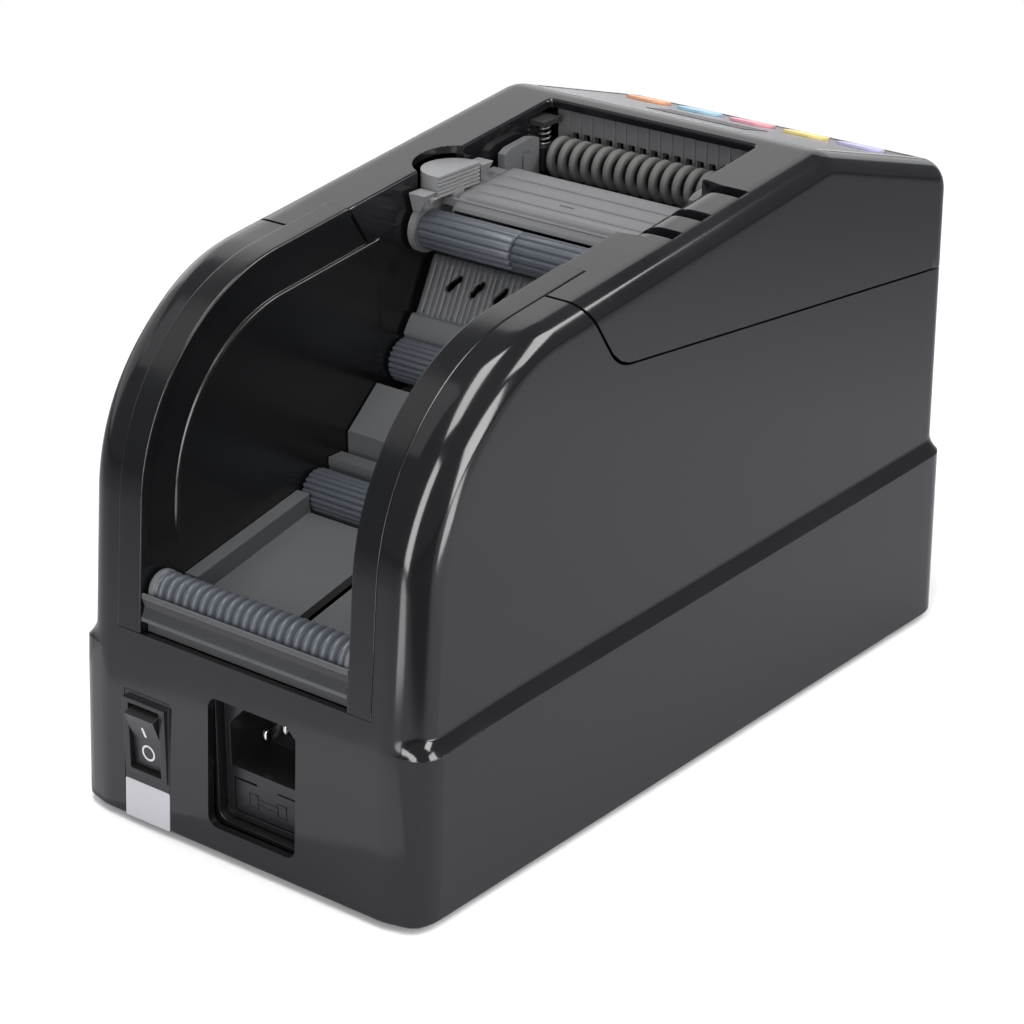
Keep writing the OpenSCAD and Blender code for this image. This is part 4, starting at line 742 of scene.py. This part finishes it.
# %% [markdown]
# ## Bay walls
# Between the shell and the bay runs a glossy strip, and from its inner edge the black wall drops to the tray.
# Below the strip the wall steps back as a margin and comes forward again as a raised panel with a small bead;
# the step follows the arch and catches the light as a thin double line. The sideways place of the sheet is a
# smooth function of depth and height, so the line comes out of the shape itself.

# %% Strip and wall
STRIP_ROUND, PROUD, WALL_TOP, BAY_FLOOR, BAY_FRONT, MARGIN = 0.7, 0.22, 12.2, 47.0, -9.0, 0.8
FADE_LOW, FADE_HIGH, PANEL_IN, BEAD = 73.5, 84.0, 0.25, 0.2
OUTER_X, OUTER_D = np.array([0.02, 0.04, 0.14, 0.34]), [0.5, 0.15, -0.12, -0.9 * PROUD]
WALL_D = [1.5, 2.2, 2.3, 2.4, 2.5, 5, 8.5, WALL_TOP]


def margin_reach(y, z):
    """Where the margin exists: above the tray and behind the upper roller."""
    return ease(z, FADE_LOW, FADE_HIGH) * ease(y, 22.2, 23.8)


def bay_wall():
    """Strip along the arch with both edges rounded, then margin, bead and raised panel down to the floor.

    Rows and columns lie closer together where the margin fades, at the tray and behind the upper roller.
    """
    leg = np.concatenate([np.linspace(SILL_Z + GAP, 73, 8), np.linspace(FADE_LOW, 84.5, 13),
                          np.linspace(86, leg_top[1], 5)])
    run = chain(np.column_stack([leg_at(leg[:, None]), np.full(len(leg), LEG)]),
                bend(leg_top, ARCH_R, LEG, RAIL, 56))
    a = quarter(6)
    d = np.concatenate([OUTER_D, np.full(5, -PROUD), STRIP_ROUND * (1 - np.cos(a[1:])) - PROUD, WALL_D])
    x = np.concatenate([STRIP_X - OUTER_X, np.linspace(STRIP_X - 0.6, BAY_X + STRIP_ROUND, 5),
                        BAY_X + STRIP_ROUND * (1 - np.sin(a[1:])), np.full(len(WALL_D), BAY_X)])
    strip = carry(run, x, d)
    strip = np.concatenate([strip, rows_between(x, strip[-1, :, 1:], seam_on_rail(d, STRIP_SHIFT),
                                                np.linspace(0, 1, 13)[1:])])
    strip[..., 0] += MARGIN * ease(d, 2.2, 2.5) * margin_reach(strip[..., 1], strip[..., 2])
    ahead = np.concatenate([np.linspace(strip[-1, -1, 1], 24.8, 4)[1:], np.linspace(24.6, 21.4, 9),
                            np.linspace(20, BAY_FRONT, 8)])
    n = outward(RAIL)
    top = np.vstack([strip[:, -1, 1:], np.column_stack([ahead, rail_z(ahead + WALL_TOP * n[0]) - WALL_TOP * n[1]])])
    turns = np.concatenate([run[:, 2], np.full(len(top) - len(run), RAIL)])
    below_rim = np.concatenate([np.linspace(0, 1.8, 19), [2.2]])
    rim_rows = top[:, None] - outward(turns)[:, None] * below_rim[:, None]
    last = rim_rows[:, -1]
    fine = np.linspace(FADE_HIGH, FADE_LOW, 12)
    upper = last[:, 1:] + np.linspace(0, 1, 12)[1:] * np.minimum(85 - last[:, 1:], 0)
    lower = np.minimum(last[:, 1:], np.concatenate([fine, np.linspace(72, BAY_FLOOR, 6)]))
    z = np.hstack([upper, lower])
    rows = np.concatenate([rim_rows, np.dstack([np.repeat(last[:, :1], z.shape[1], 1), z])], 1)
    inset = np.concatenate([below_rim, np.full(z.shape[1], 2.2)])
    rise = ease(inset, 0.2, 0.7)
    bead = ease(inset, 0.6, 0.9) * (1 - ease(inset, 1.2, 1.7))
    side = (MARGIN * (1 - rise) + PANEL_IN * rise - BEAD * bead) * margin_reach(rows[..., 0], rows[..., 1])
    return [grid(strip, flip=True), grid(np.dstack([BAY_X + side, rows]), flip=True)]


for name, patches in (("bay_wall_left", bay_wall()), ("bay_wall_right", [mirrored(p) for p in bay_wall()])):
    piece(name + "_moulded", patches, inner_black, stands_for=[name], wall=2.2, soft=0.2)

# %% [markdown]
# ## Rollers
# The rollers are turned or extruded bars, so their radius is a function of the place along the axle and of
# the angle round it. The rear roller has round beads side by side; the others have flutes along their length.

# %% Turned and fluted bars
def turned(x, radius, axis, n=64):
    """A bar on an axle along x: radius by place, or by place and angle; the last ring runs back to the first."""
    a = circle(n)
    x, radius = np.append(x, x[0]), np.asarray(radius, float).reshape(len(x), -1)
    radius = np.broadcast_to(np.vstack([radius, radius[:1]]), (len(x), n))
    points = np.stack([np.broadcast_to(x[:, None], radius.shape), axis[0] + radius * np.cos(a),
                       axis[1] + radius * np.sin(a)], -1)
    return grid(points.transpose(1, 0, 2), loop=True)


def fluted(x0, x1, r, count, depth, sharp, axis, bore=1.6, chamfer=0.5):
    """A bar with flutes: the radius dips by depth between lands, and both ends are chamfered to the bore."""
    n = count * 12
    a = circle(n)
    land = 1 - depth / r * np.abs(np.sin(a * count / 2)) ** sharp
    x = np.array([x0, x0, x0 + chamfer, x1 - chamfer, x1, x1])
    ring = np.array([bore, r - chamfer, r, r, r - chamfer, bore])
    return turned(x, ring[:, None] * np.where(ring[:, None] > bore, land, 1), axis, n)


def beaded(half, r, count, depth, axis, bore=1.6, collar=2.5):
    """A bar with round beads: over a pitch the radius follows a sine's square root; plain collars at the ends."""
    u = np.linspace(0, count, count * 14 + 1)
    bead = r - depth * (1 - np.abs(np.sin(np.pi * u)) ** 0.5)
    x = (u / count * 2 - 1) * (half - collar)
    ends = np.array([half, half, half - 0.4, half - collar])
    ring = np.array([bore, r - 0.5, r - 0.1, r - 0.1])
    return turned(np.concatenate([-ends, x, ends[::-1]]), np.concatenate([ring, bead, ring[::-1]]), axis)


ROLLER_X = BAY_X - 0.6
REAR_AT, LOWER_AT, UPPER_AT, GUIDE_AT = (110.2, 65.2), (51.0, 72.4), (15.0, 99.0), (6.0, 134.5)
PRESS_AT = (-46.0, 142.6)
piece("rear_roller_beaded", [beaded(ROLLER_X, 5.2, 22, 2.0, REAR_AT)], roller_blue, "rear_roller_body",
      ["rear_roller"])
collars = [turned(side * np.array([33.9, 33.9, 33.6, 32.5, 32.2, 32.2]), [3, 5.0, 5.3, 5.3, 5.0, 3], REAR_AT)
           for side in (-1, 1)]
piece("rear_roller_collars", collars, guide_grey, "rear_roller_body", crisp=True)
for name, at in (("lower_roller", LOWER_AT), ("upper_roller", UPPER_AT)):
    piece(name + "_fluted", [fluted(-ROLLER_X, ROLLER_X, 6.2, 22, 0.75, 6, at)], roller_blue,
          name + "_body", [name])
for name, x0, x1 in (("left", 0.3, 31.4), ("right", -31.4, -0.3)):
    piece(f"guide_roller_{name}_fluted", [fluted(x0, x1, 5.5, 14, 0.6, 12, GUIDE_AT)], roller_blue,
          "guide_roller_body", [f"guide_roller_{name}"])

# %% Rubber rings of the pressure roller
RING_R, RING_W, RING_PITCH, RINGS = 5.9, 2.1, 3.9, 15


def ring_at(x):
    """A rubber ring: straight sides under a rounded tread, a circle's sine and cosine to the power 0.7."""
    a = np.linspace(-np.pi / 2, np.pi / 2, 16)
    half = RING_W / 2
    return turned(np.concatenate([[x - half], x + half * np.sign(a) * np.abs(np.sin(a)) ** 0.7, [x + half]]),
                  np.concatenate([[3.55], RING_R - 1.3 + 1.3 * np.abs(np.cos(a)) ** 0.7, [3.55]]), PRESS_AT, 48)


piece("rubber_rings_turned", [ring_at((k - (RINGS - 1) / 2) * RING_PITCH) for k in range(RINGS)], ring_rubber,
      "pressure_roller", ["rubber_rings"])

# %% [markdown]
# ## Springs and slotted plate
# A spring is a small circle carried along a screw line, with the last half turn at each end lying flat. The
# slotted plate is a moulded sheet: a slanted ledge, a narrow groove and a slope with fine ribs, pierced by
# slanted slots.

# %% Springs
def coil(cx, z0=145.75, z1=151.05, wire=0.34, radius=1.68, turns=4.5):
    """Spring wire: the middle goes round and climbs evenly between two flat end turns; the ends are closed."""
    t = np.linspace(0, 1, 181)
    way = 2 * np.pi * turns * t
    middle = np.column_stack([cx + radius * np.cos(way), PRESS_AT[0] + radius * np.sin(way),
                              z0 + (z1 - z0) * np.clip((t * turns - 0.5) / (turns - 1), 0, 1)])
    out = np.column_stack([np.cos(way), np.sin(way), 0 * way])
    b = circle(12)[:, None, None]
    tube = middle + wire * (np.cos(b) * out + np.sin(b) * np.array([0, 0, 1.0]))
    return capped(tube.transpose(1, 0, 2))


piece("pressure_springs_wound", [coil(33.4), coil(-33.4)], spring_steel,
      stands_for=["pressure_springs"], turn_out=True)

# %% Slotted plate
SLOPE_FOOT, SLOPE_HEAD, PLATE_X = np.array([8.9, 109.0]), np.array([1.0, 124.5]), BAY_X - 1.2
SLOPE_LEN = np.linalg.norm(SLOPE_HEAD - SLOPE_FOOT)
slope_u = (SLOPE_HEAD - SLOPE_FOOT) / SLOPE_LEN
slope_n = np.array([slope_u[1], -slope_u[0]])
on_slope = plane(SLOPE_FOOT, slope_u, slope_n)
RIB_PITCH, RIB_H = 1.9, 0.4


def slotted_sheet():
    """Slanted ledge, a narrow groove, then the slope whose ribs, a pitch apart, are a cosine to the tenth."""
    climb = np.linspace(0.9, SLOPE_LEN - 0.3, 14)
    ledge_line = np.array([(11.9, 105.8), (13.0, 106.0), (13.15, 106.1), (13.2, 106.3), (12.0, 107.9),
                           (10.7, 109.6), (10.55, 109.75), (10.35, 109.7), (10.2, 108.6), (9.4, 108.4), (9.2, 109.3)])
    slope = SLOPE_FOOT + climb[:, None] * slope_u
    head = np.array([SLOPE_HEAD - 0.1 * slope_u - 0.3 * slope_n, SLOPE_HEAD - 1.6 * slope_n])
    line = np.vstack([ledge_line, slope, head])
    ribbed = np.concatenate([np.zeros(len(ledge_line)), ease(climb, 0.9, 2.2), [0, 0]])
    x = np.linspace(-PLATE_X, PLATE_X, 441)[:, None]
    rib = RIB_H * np.abs(np.cos(np.pi * x / RIB_PITCH)) ** 10 * ribbed
    return np.dstack([np.broadcast_to(x, rib.shape), line[:, 0] + slope_n[0] * rib, line[:, 1] + slope_n[1] * rib])


def slanted(outline, cx, cv, degrees):
    """An outline turned in its plane and set at a place."""
    a = math.radians(degrees)
    return outline @ np.array([[math.cos(a), math.sin(a)], [-math.sin(a), math.cos(a)]]) + [cx, cv]


slot_outline = round_rect(0, 0, 1.05, 3.1, 1.04)
slots = [standing(slanted(slot_outline, k * 8, 11.6, 38), -4, 3, on_slope) for k in range(-3, 4)]
piece("slotted_plate_moulded", [grid(slotted_sheet())], tray_grey, stands_for=["slotted_plate"], wall=1.6,
      cuts=slots)

# %% Guide plate with broad bands
GUIDE_BACK, GUIDE_FORE = np.array([0.5, 142.2]), np.array([-24.0, 144.0])
BANDS = np.array([-18.2, -11.8, -5.4, -0.6])


def guide_sheet():
    """Broad bands across the unit with thin grooves between; the last one rolls down to the guide roller."""
    y = np.concatenate([[-24.9, -24.7], np.linspace(-24.5, 1.8, 140), [1.95, 2.0]])
    x = np.concatenate([[-33.6, -33.5], np.linspace(-33.3, 27.0, 60), [27.2, 27.3]])[:, None]
    nearest = np.abs(y[:, None] - BANDS)
    groove = 0.55 * (1 - ease(nearest.min(1), 0.12, 0.42)) * (ease(x, -33.0, -31.5) * (1 - ease(x, 24.6, 25.6)))
    crown = 0.28 * np.abs(np.sin(np.pi * (y + 24.6) / 6.4)) ** 0.7
    line = GUIDE_BACK[1] + (GUIDE_FORE - GUIDE_BACK)[1] * (GUIDE_BACK[0] - y) / (GUIDE_BACK - GUIDE_FORE)[0] + 0.85
    roll = 3.0 * np.clip((y + 2.8) / 4.8, 0, 1) ** 2
    edge_drop = 1.2 * (1 - ease(x, -33.6, -33.2)) + 1.2 * ease(x, 26.9, 27.3) + 1.5 * (1 - ease(y, -24.9, -24.4)) \
        + 0.5 * ease(y, 1.6, 2.0)
    z = line + crown - roll - groove - edge_drop
    return np.stack(np.broadcast_arrays(x, y, z), -1)


slit = prism(round_rect(-3.4, -8.7, 2.6, 0.45, 0.44), 130, 160, 2)
piece("guide_plate_banded", [grid(guide_sheet())], guide_grey, wall=0.9, cuts=[slit])


def taper(low, high, z0, z1):
    """A faceted ear: a rectangle x0, x1, y0, y1 at the foot that widens to another at the head."""
    return capped([np.array([(x0, y0, z), (x1, y0, z), (x1, y1, z), (x0, y1, z)], float)
                   for (x0, x1, y0, y1), z in ((low, z0), (high, z1))])


piece("latch_ears", [taper((31.2, 33.9, 7.2, 10.4), (28.4, 33.9, 6.9, 12.0), 140.3, 145.6),
                     taper((30.2, 31.0, 7.4, 8.4), (27.2, 29.6, 6.9, 8.8), 141.0, 144.2),
                     taper((30.6, 33.9, -16.4, -13.2), (28.4, 33.9, -17.6, -12.8), 143.6, 148.3)],
      latch_grey, soft=0.25, turn_out=True)

# %% Cradle under the rear roller: its hollow in painted shade, and a black band painted as the shadow in the gap under the lip
hollow = [(115.9, 62.1), (116.38, 62.1), (116.7, 60.6), (117.46, 59.5), (117.4, 59.2), (116.4, 59.2)]
shadow_band_line = [(115.9, 64.1), (116.72, 64.1), (116.45, 62.1), (115.9, 62.1)]
# The hollow under the lip is painted shade: tray plastic in a darker finish.
piece("cradle_hollow", [prism(hollow, -34.6, 34.6, 0)], cradle_painted_shade, crisp=True)
# A black band painted as the shadow in the narrow gap under the cradle's lip.
piece("cradle_painted_shadow_band", [prism(shadow_band_line, -34.6, 34.6, 0)], inner_black, crisp=True)

# %% Contact pins of the inlet
def pin(x, z, foot=98.6, tip=107.2):
    """A flat contact: a rectangle with round corners that narrows over the last stretch to a blunt tip."""
    shape = round_rect(0, 0, 1.0, 2.0, 0.5, 4)
    return capped([np.insert(shape * size + [x, z], 1, foot + (tip - foot) * t, axis=1)
                   for t, size in ((0, 1), (0.75, 1), (0.88, 0.9), (0.96, 0.72), (1, 0.45))])


piece("inlet_pins_rounded", [pin(INLET_X + x, z) for x, z in ((-7, 31.5), (7, 31.5), (0, 35.5))], pin_nickel,
      stands_for=["inlet_pins"], turn_out=True)

# %% [markdown]
# ## Label and marks
# Under the switch sits a blank label. The rocker has the usual bar and ring, and the fuse drawer the usual
# outline of two clips and a link, all as thin raised shapes that move with what they sit on.

# %% Label, switch marks and drawer outline
ROCKER_AT, ROCKER_TILT, INLET_FACE = np.array([117.384, 26.0]), math.radians(12), 114.03
FLAT_SIN, FLAT_COS = 0.1441, 0.9896
BACKWARDS, UPRIGHT = np.array([1, 0]), np.array([0, 1])
on_rear = plane(np.array([HALF_L + REAR_LEAN * FOOT_H, 0]), np.array([-REAR_LEAN, 1]), BACKWARDS)
on_drawer = plane(INLET_FACE * BACKWARDS, UPRIGHT, BACKWARDS)


def on_rocker(x, v, height):
    """A point of the rocker's hollow face: v counts up from its middle line, on two flats that lean outwards."""
    v, height = np.asarray(v, float), np.asarray(height, float)
    side = np.where(v < 0, -1, 1)
    y = 2.4 + np.abs(v) * FLAT_SIN + height * FLAT_COS
    z = v * FLAT_COS - side * height * FLAT_SIN
    c, d = math.cos(ROCKER_TILT), math.sin(ROCKER_TILT)
    return np.stack([x, ROCKER_AT[0] + y * c + z * d, ROCKER_AT[1] - y * d + z * c], -1)


def hoop(cx, cv, outer, inner, low, high, at):
    """A flat ring on a plane: outer and inner circle at two heights, joined all round."""
    a = circle(40)[:, None]
    r, h = np.array([outer, outer, inner, inner, outer]), np.array([low, high, high, low, low])
    return grid(at(cx + r * np.cos(a), cv + r * np.sin(a), h + 0 * a), loop=True)


def stroke(x0, z0, x1, z1, wide, at, low=-0.1, high=0.06):
    """A straight stroke from one point to another on a plane, with round ends."""
    along = np.array([x1 - x0, z1 - z0])
    reach = np.linalg.norm(along)
    shape = round_rect(0, 0, wide / 2, reach / 2 + wide / 2, wide / 2 - 0.001, 5)
    turn_by = math.degrees(math.atan2(-along[0], along[1]))
    return standing(slanted(shape, (x0 + x1) / 2, (z0 + z1) / 2, turn_by), low, high, at)


rocker_body = nodes["switch_rocker"]["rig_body"]
piece("blank_label", [standing(round_rect(32.4, 7.5, 7.9, 5.4, 0.5), -0.1, 0.12, on_rear)], label_paper,
      crisp=True)
piece("rocker_marks", [stroke(32.5, 1.6, 32.5, 4.4, 0.8, on_rocker),
                       hoop(32.5, -3.7, 2.3, 1.75, -0.1, 0.06, on_rocker)], mark_white, rocker_body,
      crisp=True)
clip = [(-6.3, 14.6, -6.3, 18.2), (-6.3, 18.2, -3.4, 18.2), (-3.4, 18.2, -3.4, 14.6), (-3.4, 14.6, -6.3, 14.6)]
link = [(-3.4, 15.6, 3.4, 15.6), (-3.4, 17.2, 3.4, 17.2)]
drawn_lines = clip + link + [(-x0, z0, -x1, z1) for x0, z0, x1, z1 in clip]
piece("drawer_outline", [stroke(INLET_X + x0, z0, INLET_X + x1, z1, 0.35, on_drawer, -0.1, 0.16)
                         for x0, z0, x1, z1 in drawn_lines], switch_black, crisp=True)

# %% [markdown]
# ## Parts that are already right
# Tray, guide unit, latch, side plates, comb, switch strip, rocker, inlet and outlet have their true shapes in the
# CAD model. A moulded part has no sharp edges, though, so copies of them get their edges rounded.

# %% Moulded copies
for name, look, slot, width in (
        ("bay_tray", tray_grey, "tray", 0.4), ("guide_frame", guide_grey, "guide", 0.3),
        ("latch_knob", latch_grey, "guide", 0.15), ("feed_side_plates", side_grey, "side_grey", 0.25),
        ("feed_comb", comb_grey, "tray", 0.15), ("switch_strip", switch_black, "switch", 0.4),
        ("inlet_socket", switch_black, "switch", 0.3), ("outlet_tray", inner_black, "inner", 0.2),
        ("switch_rocker", switch_black, "switch", 0.4)):
    softened(name, look, width)

# %% [markdown]
# ## Camera, light and floor
# The photograph is a product picture on white. Long soft boxes overhead, in front and behind give the streaks on
# the rounded edges, and weak wide ones fill the rest. A glossy shell also mirrors the floor, so the paper is
# white for the camera but darker in reflections, with painted shade that deepens with distance and in the right
# rear corner; it lets light and sight through from below. The world is white for the camera and dim for all else.

# %% Camera
eye = bpy.data.cameras.new("camera")
eye.lens, eye.sensor_width = 111.9, 36.0
camera = placed("camera", eye)
camera.location = (-0.494838, 0.627771, 0.411)
camera.rotation_euler = (math.radians(66.153), 0, math.radians(218.696))
scene.camera = camera

# %% Lamps and world
ARCH = (-0.05, 0.08, 0.12)


def lamp(name, low, high, wide, glow, target=ARCH):
    """A soft box from one end point to another, turned to a target; its power follows from area and glow."""
    low, high, target = (np.array(v, float) for v in (low, high, target))
    light = bpy.data.lights.new(name, "AREA")
    length = float(np.linalg.norm(high - low))
    light.shape, light.size, light.size_y = "RECTANGLE", wide, length
    light.energy = math.pi * wide * length * glow
    up = (high - low) / length
    side = np.cross(up, (low + high) / 2 - target)
    side /= np.linalg.norm(side)
    obj = placed(name, light)
    turn_to = np.eye(4)
    turn_to[:3, :3] = np.column_stack([side, up, np.cross(side, up)])
    turn_to[:3, 3] = (low + high) / 2
    obj.matrix_world = mathutils.Matrix(turn_to.tolist())
    obj.visible_camera = False


lamp("long box overhead", (0.27, -0.08, 1.3), (-0.47, 0.74, 1.25), 0.36, 10)
lamp("right front box", (-0.42, -0.56, 0.99), (-1.05, -0.27, 0.7), 0.34, 9.5)
lamp("rear box", (-0.24, 1.05, 0.02), (-0.48, 0.72, 0.75), 0.24, 10)
lamp("right box", (-1.0, -0.17, 0.05), (-0.98, -0.02, 0.48), 0.3, 11)
lamp("right floor bar", (-0.34, 0.0, 0.003), (-0.95, -0.2, 0.003), 0.14, 8, (-0.6, -0.1, 1.0))
lamp("rear floor bar", (-0.09, 0.30, 0.003), (-0.13, 0.7, 0.003), 0.08, 5, (-0.1, 0.45, 1.0))
lamp("far backdrop", (0.0, -1.85, 0.75), (1.8, -0.45, 0.75), 1.2, 0.95, (0, 0, 0.1))
lamp("far floor glow", (0.3, -1.6, 0.003), (1.5, -0.8, 0.003), 0.9, 1.6, (0.9, -1.2, 1.0))
lamp("left box", (1.3, -1.0, 0.5), (1.2, 0.6, 0.5), 0.9, 0.6)
lamp("left top fill", (0.5, 0.2, 1.0), (0.8, 0.75, 0.8), 0.5, 0.6)
lamp("light from below", (-0.3, -0.3, -0.8), (0.3, 0.3, -0.8), 0.6, 5)
lamp("rear floor glow", (0.04, 0.127, 0.002), (0.07, 0.2, 0.002), 0.2, 0.4, (0.05, 0.16, 1.0))

world = bpy.data.worlds.new("studio")
scene.world = world
world.use_nodes = True
wt = world.node_tree
WHITE = (1, 1, 1, 1)
path = node(wt, "ShaderNodeLightPath").outputs
seen = maths(wt, "MAXIMUM", path["Is Camera Ray"], path["Is Transmission Ray"])
plain = node(wt, "ShaderNodeBackground", {"Color": (0.9, 0.93, 1.0, 1), "Strength": 0.21})
white = node(wt, "ShaderNodeBackground", {"Color": WHITE, "Strength": 1.0})
feed(wt, wt.nodes["World Output"], {0: node(wt, "ShaderNodeMixShader", {0: seen, 1: plain, 2: white})})

# %% Floor paper
FLOOR_HALF = 3000.0
ends = [-FLOOR_HALF, FLOOR_HALF]
floor_points = np.stack(np.meshgrid(ends, ends, [0.0], indexing="ij"), -1).reshape(2, 2, 3)
floor = placed("floor", mesh_of("floor", [grid(floor_points)]))
pale = bpy.data.materials.new("floor paper")
pale.use_nodes = True
ft = pale.node_tree
ray = node(ft, "ShaderNodeLightPath").outputs
spot = node(ft, "ShaderNodeTexCoord").outputs["Object"]
xyz = node(ft, "ShaderNodeSeparateXYZ", {0: spot}).outputs
away = node(ft, "ShaderNodeVectorMath", {0: spot}, operation="LENGTH").outputs["Value"]
# Painted shade on the floor as seen in reflections: darker with distance and in the right rear corner.
painted_corner_shade = maths(ft, "MULTIPLY", ramp(ft, xyz[0], -0.16, -0.2), ramp(ft, xyz[1], 0.09, 0.14))
shade = maths(ft, "MAXIMUM", ramp(ft, away, 0.28, 0.5, (0, 0.5)), painted_corner_shade)
reflected_tone_with_painted_shade = mix(ft, shade, (0.48, 0.474, 0.51, 1), (0.015, 0.015, 0.017, 1))
matt = ft.nodes["Principled BSDF"]
feed(ft, matt, {"Base Color": mix(ft, ray["Is Camera Ray"], reflected_tone_with_painted_shade, (0.95, 0.95, 0.95, 1)), "Roughness": 0.9})
blank = maths(ft, "MULTIPLY", ramp(ft, away, 0.3, 0.6), ray["Is Camera Ray"])
glow = node(ft, "ShaderNodeEmission", {"Color": WHITE, "Strength": 1.0})
page = node(ft, "ShaderNodeMixShader", {0: blank, 1: matt, 2: glow})
under = node(ft, "ShaderNodeNewGeometry").outputs["Backfacing"]
lets_by = maths(ft, "MAXIMUM", under, ray["Is Shadow Ray"])
sheet = node(ft, "ShaderNodeMixShader", {0: lets_by, 1: page, 2: node(ft, "ShaderNodeBsdfTransparent")})
feed(ft, ft.nodes["Material Output"], {"Surface": sheet})
paint(floor, pale)

# %% Finishes of the remaining CAD nodes
LOOKS = (
    (steel, ["rear_axle", "lower_axle", "upper_axle", "guide_axle", "pressure_shaft", "drive_shaft", "idler_pin",
             "tie_rods", "crank_disc", "moving_blade", "fixed_blade", "base_screws"]),
    (plate_steel, ["cutter_bracket", "blade_bar", "feed_motor", "cutter_motor"]),
    (plate_black, ["chassis_left", "chassis_right"]),
    (gear_nylon, ["drive_gear", "idler_gear", "motor_pinion", "blade_carrier"]),
    (bush_resin, ["drive_bushes"]), (block_resin, ["pressure_blocks"]),
    (inner_black, ["base_plate", "blade_guides", "pressure_core"]), (foot_rubber, ["rubber_feet", "drive_roller"]),
    (film_black, ["control_overlay"]), (window_dark, ["display_window"]),
    (board_green, ["control_board", "power_board"]),
    *((look, [f"key_{k + 1}"]) for k, look in enumerate(key_finish.values())))
for look, names in LOOKS:
    for name in names:
        paint(nodes[name], look)
